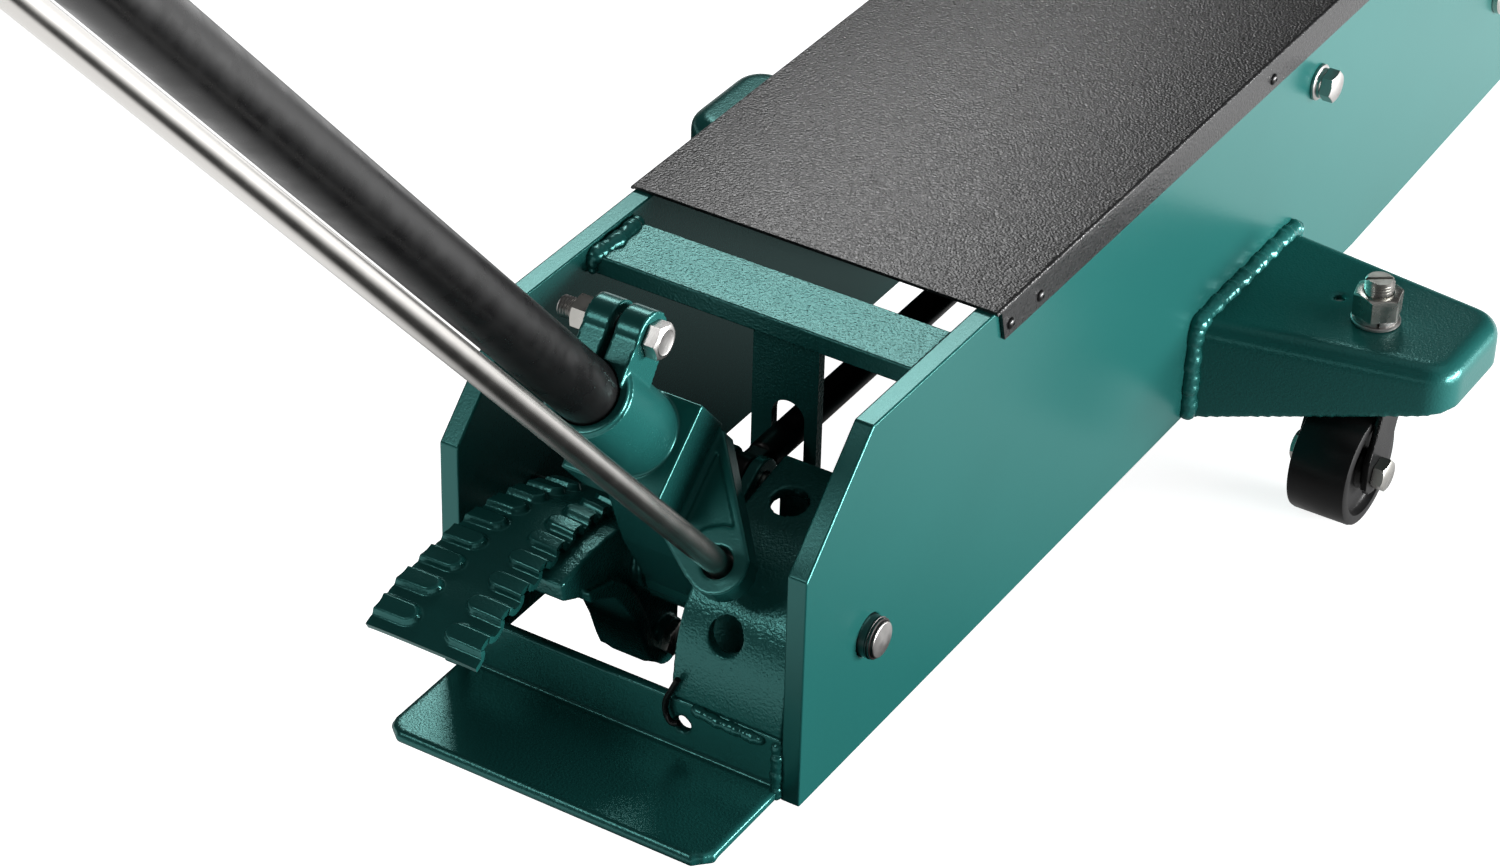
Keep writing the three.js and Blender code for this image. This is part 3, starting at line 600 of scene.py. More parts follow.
def makeAxle(name, node, radius, half, collar, y, z):
    # a plain round axle with a collar outside each plate
    profile = [(0, -half), (radius - 1, -half), (radius, 1 - half)]
    for near, far in ((-half + 3, -half + 7), (half - 7, half - 3)):
        profile += [(radius, near), (collar - 0.6, near), (collar, near + 0.6), (collar, far - 0.6),
                    (collar - 0.6, far), (radius, far)]
    profile += [(radius, half - 1), (radius - 1, half), (0, half)]
    turnedPiece(name, "x", profile, chassisFrame, "chassis", zincPlate, [node], "zinc", y, z)


halfShaft = [(12, 118.9), (10.4, 119), (10.4, 122.8), (9.8, 123.4), (0, 123.4)]
shaftEnd = [(0, 0), (9.9, 0), (10.3, 0.25), (9.8, 0.6), (6.8, 0.72), (0, 0.75)]
ringProfile = [(10.9, 119.2), (11.9, 119.2), (12.2, 119.4), (12.2, 120), (11.4, 120.3), (11.4, 120.8),
               (11.9, 121),
               (11.9, 121.6), (11.6, 121.9), (10.7, 121.9), (10.7, 119.2)]
stubProfile = [(0, 79), (9, 79), (10, 80), (10, 115.3), (14, 115.3), (14, 118.8), (12.8, 120), (0, 120)]
spacerEnds = {"left": (-102.7, -53), "right": (31, 102.7)}


def pivotPiece(name, node, profile):
    turnedPiece(name, "x", profile, chassisFrame, "chassis", darkSteel, [node], "dark_steel", mainPivot["y"],
                mainPivot["z"])


pivotPiece("mainShaft", "main_shaft", [(radius, -x) for radius, x in reversed(halfShaft)] + halfShaft)
makeAxle("armShaft", "arm_shaft", 22, 124, 27, liftArm["y"], liftArm["z"])
makeAxle("frontAxle", "front_axle", 15, 172, 20, frontWheel["y"], frontWheel["z"])
for side in sides:
    outwardPiece("shaftFace_" + side, side, shaftEnd, (123.2, mainPivot["y"], mainPivot["z"]), pinSteel)
    pivotPiece("mainRing_" + side, "main_ring_" + side, mirroredProfile(ringProfile, side))
    start, end = spacerEnds[side]
    pivotPiece("spacer_" + side, "spacer_" + side, [
        (12.3, start), (15.2, start), (16, start + 0.8), (16, end - 0.8), (15.2, end), (12.3, end),
        (12.3, start)])
    turnedPiece("levelStub_" + side, "x", mirroredProfile(stubProfile, side), chassisFrame, "chassis",
                zincPlate,
                ["level_stub_" + side], "zinc", 885, 90)


sideBolt = {"y": 593, "z": 161, "flats": 18, "head": 7.6}
sideCollar = [(0, 0), (11.5, 0), (11.5, 1.6), (10.6, 2.2), (9.4, 2.4), (9.4, 4.4), (8.6, 4.9), (0, 4.9)]


def makeCrossTie():
    tie = bmesh.new()
    addRod(tie, "x", 14, -102.7, 102.7, sideBolt["y"], sideBolt["z"])
    bores = bmesh.new()
    for start, end in ((-110, -70), (70, 110)):
        addRod(bores, "x", 6.3, start, end, sideBolt["y"], sideBolt["z"], 32)
    cutPiece("crossTie", tie, bores, chassisFrame, "chassis", peelGreen, ["cross_tie"], 0.8)


makeCrossTie()


def hexHead(flats, height, direction, x, y, z, twist=0.0):
    # a bolt head looking along X, with a plain turned face
    head = hexMesh(flats, height)
    place = Matrix.Translation((x, y, z)) @ Matrix.Rotation(math.radians(90 * direction), 4, "Y")
    bmesh.ops.transform(head, matrix=place @ Matrix.Rotation(math.radians(twist), 4, "Z"), verts=head.verts)
    return head


for side, sign in sides.items():
    y, z = sideBolt["y"], sideBolt["z"]
    bolt = bmesh.new()
    joined(bolt, hexHead(sideBolt["flats"], sideBolt["head"], sign, sign * 120.2, y, z, 12))
    outward = Matrix.Translation((sign * 115.3, y, z)) @ Matrix.Rotation(math.radians(90 * sign), 4, "Y")
    joined(bolt, turnedMesh(sideCollar), outward)
    addRod(bolt, "x", 5.9, min(sign * 73, sign * 116), max(sign * 73, sign * 116), y, z, 32)
    finishPiece("sideBolt_" + side, bolt, chassisFrame, "chassis", pinSteel, ["side_bolt_" + side],
                0.25, 2)
print("shafts and bolts made")


refinedNode("unit_base", "chassis", peelGreen, 1.5)


def makePumpBlock():
    block = bmesh.new()
    addBox(block, (-70, 470, 19.3), (70, 560, 140))
    bores = bmesh.new()
    addRod(bores, "y", 8.3, 460, 536, 13.5, 118, 48)
    addRod(bores, "y", 5.3, 460, 500, 45, 60, 48)
    cutPiece("pumpBlock", block, bores, chassisFrame, "chassis", castGreen, ["pump_block"], 3,
             4)


makePumpBlock()
reservoirProfile = [
    (0, 560.3), (50, 560.3), (51.6, 561.4), (52, 564), (52, 735), (51.2, 737.8), (44, 741), (35, 742.4),
    (34, 743.6),
    (34, 763.6), (32.6, 765), (19.7, 765), (18.5, 764), (18.5, 600), (0, 600),
]
turnedPiece("reservoir", "y", reservoirProfile, chassisFrame, "chassis", peelGreen, ["reservoir"],
            "green_paint", 0, 72, 96)


wireHook = {"radius": 1.8, "points": [(40, -3.3, 56), (36, -3.3, 47), (32.5, -3.3, 38), (33, -3.3, 30),
                                     (36.5, -3.3, 25.5), (41, -3.3, 27)]}


def makeWireHook():
    curve = bpy.data.curves.new("hookPath", "CURVE")
    curve.dimensions = "3D"
    curve.bevel_depth = wireHook["radius"]
    curve.bevel_resolution = 4
    spline = curve.splines.new("POLY")
    points = smoothPath(wireHook["points"], 8)
    spline.points.add(len(points) - 1)
    for vertex, point in zip(spline.points, points):
        vertex.co = (*point, 1)
    curve.use_fill_caps = True
    thing = bpy.data.objects.new("hook", curve)
    bpy.context.scene.collection.objects.link(thing)
    mesh = bakedMesh(thing)
    mesh.transform(chassisFrame)
    finishMesh("wireHook", mesh, "chassis", tubeBlack, ["wire_hook"])


makeWireHook()
print("hydraulic unit made")


# in the handle's frame Z runs up the handle and Y is square to it
socket = {"boss": 24.5, "bore": 18.0, "axis": 38, "boltUp": 77, "boltAlong": 182}
rodSpot = (60, -6)
# the link's pin stands 33 ahead of the main pivot and 45 above it
linkOffset = {"ahead": 33, "above": 45}
lean = math.radians(handleLean)
pinY = linkOffset["ahead"] * math.sin(lean) + linkOffset["above"] * math.cos(lean)
pinZ = -linkOffset["ahead"] * math.cos(lean) + linkOffset["above"] * math.sin(lean)


def makeSocket():
    solids = bmesh.new()
    addRod(solids, "x", 23, -12, 30)
    addPrism(solids, "x", [(-21, 0), (-8, 60), (7, 99), (58, 99), (34, 55), (22, 5)], -12, 30)
    addBox(solids, (-30, 7, 93), (30, 63.5, 124))
    addRod(solids, "z", socket["boss"], 122, 188, 0, socket["axis"], 96)
    addRod(solids, "z", socket["boss"] - 1.6, 187, 190, 0, socket["axis"], 96)
    # ears of the split clamp
    addPrism(solids, "x", [(46, 158), (78, 166), (78, 195), (46, 192)], -17, 17)
    addRod(solids, "x", 14, -17, 17, socket["boltUp"], socket["boltAlong"])
    # lug with the ring that guides the release rod
    addPrism(solids, "z", [(26, 60), (26, -4), (47, -19), (60, -23), (77, -8), (76.6, 1), (32, 60)], 78, 93)
    addRod(solids, "z", 17.5, 78, 93, *rodSpot)
    addBox(solids, (24, 8, 81), (30, 56, 119))
    addBox(solids, (24, -2, 78), (31, 58, 93))
    # ears for the pump link
    addPrism(solids, "x", [(6, -22), (pinY + 3, pinZ - 13), (pinY + 3, pinZ + 13), (10, 32)], -0.5, 27.5)
    addRod(solids, "x", 13, -0.5, 27.5, pinY + 1, pinZ)
    cuts = bmesh.new()
    addRod(cuts, "x", 12.4, -40, 60, 0, 0, 48)
    addRod(cuts, "z", socket["bore"], 120, 215, 0, socket["axis"], 96)
    addBox(cuts, (-2, 50, 142), (2, 118, 215))
    addRod(cuts, "x", 6.4, -60, 60, socket["boltUp"], socket["boltAlong"], 32)
    addRod(cuts, "x", 6.4, -60, 60, pinY, pinZ, 32)
    addBox(cuts, (6.4, 20, -60), (20.6, 90, 60))
    addRod(cuts, "z", 9, 60, 110, *rodSpot, 40)
    # three-cornered hollow in the lug's face
    addPrism(cuts, "z", [(33, 50), (33, 4), (41, 3), (46, 9), (54, 13.5), (61, 14)], 89.5, 97)
    castPiece("handleSocket", solids, cuts, handleFrame, "handle", smoothGreen, ["handle_socket"],
              0.85, 1, 0.45)


makeSocket()


def chamferedPin(radius, half):
    return [(0, -half), (radius - 1, -half), (radius, 1 - half), (radius, half - 1), (radius - 1, half),
            (0, half)]


tubeProfile = [(14, 121), (16.8, 121), (17.5, 121.7), (17.5, 1249.2), (16.8, 1250), (14, 1250), (14, 121)]
handleBar = {"radius": 14, "half": 150, "along": 1264.3}
turnedPiece("handleTube", "z", tubeProfile, handleFrame, "handle", tubeBlack, ["handle_tube"], "black_paint",
            0, socket["axis"], 96)
turnedPiece("handleBar", "x", chamferedPin(handleBar["radius"], handleBar["half"]), handleFrame, "handle",
            tubeBlack, ["handle_bar"], "black_paint", socket["axis"], handleBar["along"])

handleGrip = {"start": 58, "end": 154, "radius": 18, "ribs": 11}


def makeGrip(side):
    g = handleGrip
    profile = [(14.3, g["start"]), (18, g["start"]), (g["radius"], g["start"] + 3)]
    first, last = g["start"] + 6, g["end"] - 8
    pitch = (last - first) / g["ribs"]
    for i in range(g["ribs"]):
        at = first + i * pitch
        profile += [(16.4, at), (16.4, at + pitch * 0.3), (17.6, at + pitch * 0.45), (17.6, at + pitch * 0.8)]
    # closed end, then back down the bore
    end, inside = g["end"], g["end"] - 3.6
    profile += [(16.6, last), (18, last + 2), (18, end - 1.5), (16.5, end), (0, end), (0, inside),
                (14.3, inside),
                (14.3, g["start"])]
    turnedPiece("handleGrip_" + side, "x", mirroredProfile(profile, side), handleFrame, "handle", gripRubber,
                ["handle_grip_" + side], "rubber", socket["axis"], handleBar["along"], 72, 25)


for side in sides:
    makeGrip(side)


def makeClampFasteners():
    y, z = socket["boltUp"], socket["boltAlong"]
    bolt = bmesh.new()
    joined(bolt, hexHead(18, 7.6, 1, 17.4, y, z, 8))
    addRod(bolt, "x", 6.1, -20, 18, y, z, 40)
    addThread(bolt, "x", 6, -38, -14, 1.75, y, z, 0.8)
    face = turnedMesh([(0, 0), (7.6, 0), (7.6, 0.25), (7, 0.6), (6.2, 0.35), (0, 0.25)], 40)
    joined(bolt, face, Matrix.Translation((24.8, y, z)) @ Matrix.Rotation(math.radians(90), 4, "Y"))
    finishPiece("clampBolt", bolt, handleFrame, "handle", pinSteel, ["clamp_bolt"])
    nut = hexHead(18, 10.4, -1, -17.4, y, z, 22)
    bore = bmesh.new()
    addRod(bore, "x", 6.3, -40, 0, y, z, 40)
    cutPiece("clampNut", nut, bore, handleFrame, "handle", zincPlate, ["clamp_nut"], 0.3, 2)


makeClampFasteners()

turnedPiece("linkPin", "x", [(0, -3.5), (5.2, -3.5), (6, -2.7), (6, 29.7), (5.2, 30.5), (0, 30.5)],
            handleFrame,
            "handle", zincPlate, ["link_pin"], "zinc", pinY, pinZ, 40)


def makeRodClip():
    solids = bmesh.new()
    addRod(solids, "z", 22.5, 1140, 1162, 0, socket["axis"])
    addRod(solids, "z", 12, 1140, 1162, *rodSpot)
    reach = math.hypot(60, 44)
    nx, ny = 44 / reach * 5, 60 / reach * 5
    addPrism(solids, "z", [(nx, 38 + ny), (60 + nx, -6 + ny), (60 - nx, -6 - ny), (-nx, 38 - ny)], 1140, 1162)
    bores = bmesh.new()
    addRod(bores, "z", 17.8, 1130, 1170, 0, socket["axis"])
    addRod(bores, "z", 7.5, 1130, 1170, *rodSpot)
    castPiece("rodClip", solids, bores, handleFrame, "handle", forkBlack, ["rod_clip"], 1.0, 3)


makeRodClip()


knobProfile = [(0, 1210.3), (9, 1210.3), (11, 1211.6), (15, 1216), (16.8, 1222), (17, 1228), (16.4, 1236),
               (15, 1243), (12, 1247.6), (8, 1250), (0, 1251)]


def makeReleaseRod():
    profile = [(0, 69), (6, 69), (7, 70), (7, 1210), (0, 1210)]
    turnedPiece("releaseRod", "z", profile, handleFrame, "release", chromePlate, ["release_rod"], "chrome",
                *rodSpot)
    crank = bmesh.new()
    addPrism(crank, "z", [(38, -11), (60, -17), (68, -14), (71, -6), (68, 2), (60, 5), (38, -1)], 70, 76)
    addRod(crank, "z", 6.5, 70, 76, 40, -6)
    hole = bmesh.new()
    addRod(hole, "z", 3, 60, 90, 41, -6, 32)
    castPiece("releaseCrank", crank, hole, handleFrame, "release", darkSteel, voxel=0.8,
              soften=2)
    flutes = bmesh.new()
    for i in range(12):
        angle = math.tau * i / 12
        addRod(flutes, "z", 2.2, 1200, 1260, 18 * math.cos(angle), 18 * math.sin(angle), 20)
    cutPiece("releaseKnob", turnedMesh(knobProfile, 96), flutes,
             handleFrame @ Matrix.Translation((*rodSpot, 0)),
             "release", gripRubber, ["release_knob"], 0.5, 2)


makeReleaseRod()
print("handle made")


def makeValveAndPump():
    spindle = bmesh.new()
    addRod(spindle, "y", 5, 428, 494, 45, 60, 40)
    addPrism(spindle, "y", [(40, 55), (50, 55), (50, 83), (48, 86), (42, 86), (40, 83)], 426, 432)
    finishPiece("valveSpindle", spindle, chassisFrame, "valve", zincPlate, ["valve_spindle"], 0.5, 2)
    link = bmesh.new()
    addRod(link, "y", 9, 120, 378, 13.5, 118)
    addBox(link, (7.5, 100, 111), (19.5, 124, 125))
    addBox(link, (7.5, 374, 111), (19.5, 392, 125))
    addRod(link, "x", 12, 7.5, 19.5, 100, 118)
    addRod(link, "x", 15, 7.5, 19.5, 400, 118)
    eyes = bmesh.new()
    addRod(eyes, "x", 6.3, 0, 40, 100, 118)
    addRod(eyes, "x", 10.5, 0, 40, 400, 118)
    castPiece("pumpLink", link, eyes, chassisFrame, "pump_link", forkBlack, ["pump_link"],
              0.9, 2)
    plunger = bmesh.new()
    addBox(plunger, (-0.5, 388, 106), (27.5, 434, 130))
    addRod(plunger, "y", 8, 430, 504, 13.5, 118, 48)
    addRod(plunger, "x", 4, -2.5, 29.5, 400, 118, 32)
    fork = bmesh.new()
    addBox(fork, (5.5, 386, 104), (21.5, 425, 132))
    cutPiece("pumpPlunger", plunger, fork, chassisFrame, "plunger", chromePlate, ["pump_plunger"],
             0.8)
    pin = bmesh.new()
    addRod(pin, "x", 4, -2.5, 29.5, 400, 118, 32)
    finishPiece("plungerPin", pin, chassisFrame, "plunger", zincPlate, edge=0.5)


makeValveAndPump()


footPedal = {"left": -102, "right": -32, "thickness": 4, "rows": 9, "firstGrip": 13.5, "gripPitch": 20.3,
             "closer": 0.55, "gripLength": 26, "gripWidth": 15, "gripHeight": 4}
pedalPath = [(-86, 85), (-74, 91), (-62, 97), (-45, 101.5), (-28, 106.5), (-12, 110.5), (4, 112.6), (18, 113),
             (32, 111.5), (45, 108), (62, 102)]


def pressedGrip(inward, along, length, width):
    # 1 on top of the raised grip, 0 outside; its outer end runs out through the sheet's edge
    radius = width / 2
    reach = math.hypot(max(0.0, inward - length + radius), along) / radius
    slope = min(1.0, max(0.0, (1.0 - reach) / 0.4))
    return 3 * slope ** 2 - 2 * slope ** 3


def makePedal():
    p = footPedal
    path = smoothPath(pedalPath, 8)
    lengths = [0.0]
    for a, b in zip(path, path[1:]):
        lengths.append(lengths[-1] + (b - a).length)
    total = lengths[-1]

    def onPath(s):
        for i in range(len(path) - 1):
            if s <= lengths[i + 1] or i == len(path) - 2:
                t = (s - lengths[i]) / (lengths[i + 1] - lengths[i])
                along = (path[i + 1] - path[i]).normalized()
                return path[i].lerp(path[i + 1], min(1, max(0, t))), Vector((-along.y, along.x))

    grips = [p["firstGrip"] + i * p["gripPitch"] - i * i * p["closer"] for i in range(p["rows"])]
    sheet = bmesh.new()
    bmesh.ops.create_grid(sheet, x_segments=100, y_segments=200, size=0.5)
    for vert in sheet.verts:
        u, s = vert.co.x + 0.5, (vert.co.y + 0.5) * total
        place, normal = onPath(s)
        left = p["left"] + 28 * (s / total) ** 1.6
        right = p["right"]
        # the edges draw in a little beside each grip, and the far corners are rounded
        wave = max(math.cos(math.pi * min(1, abs(s - spot) / 10)) for spot in grips)
        left += 0.8 * wave
        right -= 0.8 + 0.8 * wave
        if s > total - 8:
            left += (s - total + 8) ** 2 / 10
            right -= (s - total + 8) ** 2 / 10
        x = left + (right - left) * u
        height = 0.0
        for i, spot in enumerate(grips):
            for inward, shorter in ((x - left, 0.9), (right - x, 1.3)):
                length, width = p["gripLength"] - i * shorter, p["gripWidth"] - i * 0.6
                height = max(height, pressedGrip(inward, s - spot, length, width))
        droop = -1.0 * (2 * u - 1) ** 4
        place = place + normal * (p["thickness"] / 2 - 0.8 + p["gripHeight"] * height + droop)
        vert.co = (x, place.x, place.y)
    thing = looseObject(sheet)
    wall = thing.modifiers.new("wall", "SOLIDIFY")
    wall.thickness = p["thickness"]
    wall.offset = -1
    mesh = bakedMesh(thing)
    bm = bmesh.new()
    bm.from_mesh(mesh)
    bmesh.ops.recalc_face_normals(bm, faces=bm.faces)
    bpy.data.meshes.remove(mesh)
    finishPiece("pedalPlate", bm, chassisFrame, "pedal", peelGreen, ["pedal_plate"], angle=50)


makePedal()


def makePedalArm():
    arm = bmesh.new()
    shape = [(-22, 101), (-20, 92), (-4, 84.6), (10, 78), (20, 72), (29, 61), (38, 48), (44, 36), (50, 22),
             (55, 8),
             (60, 1), (68, -4), (76, -7), (84, -5), (90, 1), (93, 12), (94, 26), (93, 44), (92, 60),
             (90, 76), (86, 90),
             (64, 97), (45, 112), (28, 112), (-22, 105)]
    addPrism(arm, "x", shape, -45, -21)
    # thicker rim along the rear edge and a boss round the pivot
    addRod(arm, "x", 22, -50, -16, 67, 73)
    rim = [(-4, 90), (-2, 82), (12, 76), (22, 70), (31, 58), (39, 46), (46, 32), (52, 16), (57, 5), (64, 1),
           (68, 8), (60, 22),
           (53, 40), (44, 58), (34, 72), (20, 84)]
    addPrism(arm, "x", rim, -50, -16)
    addRod(arm, "x", 14, -50, -16, 77, 7)
    holes = bmesh.new()
    addRod(holes, "x", 12.4, -60, 0, 67, 73, 48)
    addRod(holes, "x", 6.4, -60, 0, 77, 10, 32)
    addPrism(holes, "x", [(-40, 99), (-28, 102.6), (-12, 106.6), (4, 108.8), (18, 109.2), (32, 107.8),
                          (45, 104.2), (63.8, 97.4),
                          (63.8, 140), (-40, 140)], -60, 0)
    castPiece("pedalArm", arm, holes, chassisFrame, "pedal", castGreen, ["pedal_arm"], 1.1, 3)


makePedalArm()

pedalBolt = bmesh.new()
joined(pedalBolt, hexHead(18, 6, 1, -17.2, 77, 10, 10))
addRod(pedalBolt, "x", 6, -56, -17, 77, 10, 32)
addThread(pedalBolt, "x", 6, -58, -52, 1.75, 77, 10, 0.8)
finishPiece("pedalBolt", pedalBolt, chassisFrame, "pedal", zincPlate, ["pedal_bolt"])
print("pedal made")


ramFace = 900 - 90 * math.sin(math.radians(35)) - 18.5
ramProfile = [(0, 610), (17, 610), (18, 611), (18, ramFace - 21), (24, ramFace - 18.6), (25, ramFace - 17.4),
              (25, ramFace - 3), (23, ramFace), (0, ramFace)]
turnedPiece("ramRod", "y", ramProfile, chassisFrame, "ram", chromePlate, ["ram_rod"], "chrome", 0, 72, 96)
refinedNode("lift_arm", "arm", castGreen, 2.0)
for side in sides:
    refinedNode("level_link_" + side, "level_links", peelGreen, 1.0)
refinedNode("saddle_carrier", "carrier", castGreen, 2.5)
turnedPiece("carrierPin", "x", chamferedPin(14, 78), saddleFrame, "carrier", zincPlate, ["carrier_pin"],
            "zinc")
turnedPiece("levelPin", "x", chamferedPin(8, 95), saddleFrame, "carrier", zincPlate, ["level_pin"], "zinc",
            -15, -60)


padProfile = [(0, 16), (10.8, 16), (11.7, 17), (11.7, 26.3), (43, 26.3), (45, 27.4), (51.6, 33.4), (52, 34.4),
              (52, 51), (51, 52), (47, 52), (46, 51.4), (44.2, 42.6), (43, 42), (20, 42), (18.6, 41.2),
              (0, 41.2)]


def makeSaddle():
    cuts = bmesh.new()
    for i in range(4):
        slot = bmesh.new()
        addBox(slot, (38, -9, 43), (60, 9, 60))
        joined(cuts, slot, Matrix.Rotation(math.radians(45 + 90 * i), 4, "Z"))
    for i in range(-3, 4):
        groove = bmesh.new()
        y = i * 11
        reach = math.sqrt(40 ** 2 - y ** 2)
        addBox(groove, (-reach, y - 1.2, 40.8), (reach, y + 1.2, 46))
        joined(cuts, groove)
    cutPiece("saddlePad", turnedMesh(padProfile, 128), cuts, saddleFrame, "saddle", darkSteel, ["saddle_pad"],
             0.6, 2)


makeSaddle()
print("arm and saddle made")


def makeFrontWheel(side):
    w = frontWheel
    r, width = w["radius"], w["width"]
    profile = [(15.3, 0), (28, 0), (29, 1), (29, 3), (60, 3), (62, 1), (63, 0), (r - 2, 0), (r, 2),
               (r, width - 2),
               (r - 2, width), (r - w["rim"], width), (r - w["rim"] - 3, width - 7), (32, width - 9),
               (30, width - 7), (30, width - 1), (29, width), (15.3, width), (15.3, 0)]
    wheel = turnedMesh(mirroredProfile(profile, side), 120)
    pockets = bmesh.new()
    for i in range(w["spokes"]):
        angle = math.tau * (i + 0.5) / w["spokes"]
        low, high = sorted((sides[side] * (width - 13), sides[side] * (width + 2)))
        addRod(pockets, "z", 9.5, low, high, 45.5 * math.cos(angle), 45.5 * math.sin(angle), 36)
    place = chassisFrame @ Matrix.Translation((sides[side] * w["inner"], w["y"], w["z"])) @ alongAxis("x")
    cutPiece("frontWheel_" + side, wheel, pockets, place, "front_wheel_" + side, wheelGrey,
             ["front_wheel_" + side], 0.8, 2)


for side in sides:
    makeFrontWheel(side)


castor = {"x": 204, "y": 508, "radius": 36, "width": 38, "trail": 28, "axle": -18}
forkLeg = [(-18, 52.5), (-34, 12), (-42, -6), (-42, -24), (-38, -29), (-30, -31), (-20, -30), (-14, -26),
           (-11, -14), (-6, 4), (18, 52.5)]
flatWasher = [(9.3, 67.3), (14.2, 67.3), (15, 67.7), (15, 69), (14.4, 69.5), (9.3, 69.5), (9.3, 67.3)]
springRing = [(9.3, 69.6), (13, 69.6), (13.2, 69.9), (13.2, 72.5), (13, 72.8), (9.3, 72.8), (9.3, 69.6)]


def turnedOnZ(degrees):
    return Matrix.Rotation(math.radians(degrees), 4, "Z")


def makeFork(side, place):
    fork = bmesh.new()
    for low, high in ((-24, -20), (20, 24)):
        addPrism(fork, "x", forkLeg, low, high)
    addBox(fork, (-24, -18, 47.5), (24, 18, 52.5))
    corners = [edge for edge in fork.edges if edge.calc_length() < 6
               and all(abs(abs(vert.co.y) - 18) < 0.1 and abs(vert.co.x) > 23 for vert in edge.verts)]
    roundEdges(fork, corners, 3, 4)
    # the swivel's two races
    addRod(fork, "z", 20, 52, 56, 0, 0, 72)
    addRod(fork, "z", 17, 55.5, 60.5, 0, 0, 72)
    axleHole = bmesh.new()
    addRod(axleHole, "x", 6.3, -40, 40, -castor["trail"], castor["axle"], 40)
    castPiece("castorFork_" + side, fork, axleHole, place, "castor_" + side, forkBlack,
              ["castor_fork_" + side],
              1.0, 2)


def makeStud(side, place):
    body = "castor_" + side
    stud = bmesh.new()
    addRod(stud, "z", 9, 52, 86, 0, 0, 48)
    addThread(stud, "z", 9, 78, 96.5, 2.0, 0, 0, 0.9)
    slot = bmesh.new()
    addBox(slot, (-12, -1.3, 93.4), (12, 1.3, 101))
    bmesh.ops.transform(slot, matrix=turnedOnZ(35), verts=slot.verts)
    cutPiece("castorStud_" + side, stud, slot, place, body, zincPlate)
    nut = hexMesh(27, 15.2)
    bmesh.ops.transform(nut, matrix=Matrix.Translation((0, 0, 72.9)) @ turnedOnZ(12), verts=nut.verts)
    bore = bmesh.new()
    addRod(bore, "z", 9.3, 60, 90, 0, 0, 48)
    cutPiece("castorNut_" + side, nut, bore, place, body, zincPlate, ["castor_nut_" + side], 0.3, 2)
    turnedPiece("castorWasher_" + side, "z", flatWasher, place, body, pinSteel, slot="zinc")
    split = bmesh.new()
    addBox(split, (8, -0.9, 60), (16, 0.9, 80))
    cutPiece("springWasher_" + side, turnedMesh(springRing), split, place @ turnedOnZ(-60), body, pinSteel)


def makeCastor(side):
    sign = sides[side]
    c = castor
    place = chassisFrame @ Matrix.Translation((sign * c["x"], c["y"], 0))
    makeFork(side, place)
    makeStud(side, place)
    axle = bmesh.new()
    joined(axle, hexHead(18, 7.4, sign, sign * 24.4, -c["trail"], c["axle"], 14))
    addRod(axle, "x", 5.8, -26, 26, -c["trail"], c["axle"], 40)
    joined(axle, hexHead(18, 5.6, -sign, -sign * 24.4, -c["trail"], c["axle"], 5))
    finishPiece("castorAxle_" + side, axle, place, "castor_" + side, zincPlate, ["castor_axle_" + side])
    r, half = c["radius"], c["width"] / 2
    flank = [(6.3, half), (11.4, half), (12, half - 0.6), (13, half - 4), (r - 9, half - 4),
             (r - 8, half - 3),
             (r - 6.6, half), (r - 2, half), (r - 0.5, half - 0.6), (r, half - 2.2)]
    profile = [(radius, -x) for radius, x in flank] + flank[::-1] + [(6.3, -half)]
    wheelPlace = place @ Matrix.Translation((0, -c["trail"], c["axle"]))
    turnedPiece("castorWheel_" + side, "x", profile, wheelPlace, "castor_wheel_" + side, wheelBlack,
                ["castor_wheel_" + side], "black_plastic", count=96)


for side in sides:
    makeCastor(side)
print("rollers made")


weldBead("barWeldLeft", [(-101, 128, 203), (-98, 146, 204), (-100, 170, 203)], 5.5)
weldBead("barWeldLeftSide", [(-101, 126, 202), (-101, 126, 194)], 3.6)
weldBead("barWeldRight", [(101.5, 128, 203.6), (101.5, 168, 203.6)], 2.6)
weldBead("guardWeld", [(50, 0.5, 37), (64, -0.5, 36), (92, 0, 35)], 3.8)
weldBead("stepWeldRight", [(101, -1, 4), (101, -1, 22), (100, 1, 36)], 3.6)
weldBead("stepWeldLeft", [(-101, -1, 6), (-101, -1, 34)], 3.2)
for side, sign in sides.items():
    rearPath = [(sign * 117, 444, 62), (sign * 117, 443, 40), (sign * 117, 443, 18), (sign * 117, 444, 1)]
    topPath = [(sign * 117, y, z) for y, z in ((446, 66), (470, 67.5), (510, 67), (545, 67.5), (577, 66))]
    weldBead("outriggerWeldRear_" + side, rearPath, 6.0)
    weldBead("outriggerWeldTop_" + side, topPath, 6.6)
    frontPath = [(sign * 117, 579, 64), (sign * 117, 580, 30), (sign * 117, 579, 2)]
    weldBead("outriggerWeldFront_" + side, frontPath, 5.4)
print("welds made")

for name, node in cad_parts.items():
    if not node.data.materials:
        node.data.materials.append(smoothGreen)

floorMesh = bmesh.new()
bmesh.ops.create_grid(floorMesh, x_segments=1, y_segments=1, size=14)
floorData = bpy.data.meshes.new("floor")
floorMesh.to_mesh(floorData)
floorMesh.free()
floor = bpy.data.objects.new("floor", floorData)
bpy.context.scene.collection.objects.link(floor)
floorFinish, floorShader = newMaterial("floorWhite", (0.9, 0.9, 0.9), 0.9, specular=0.1)
floorShader.inputs["Emission Color"].default_value = (1, 1, 1, 1)
floorShader.inputs["Emission Strength"].default_value = 0.85


# how much light the floor throws back: more away from the jack, ahead on the right and behind on the left
floorGlow = {"ahead": (-0.05, 0.7, 1.3), "behind": (0.35, 0.5, 1.0)}


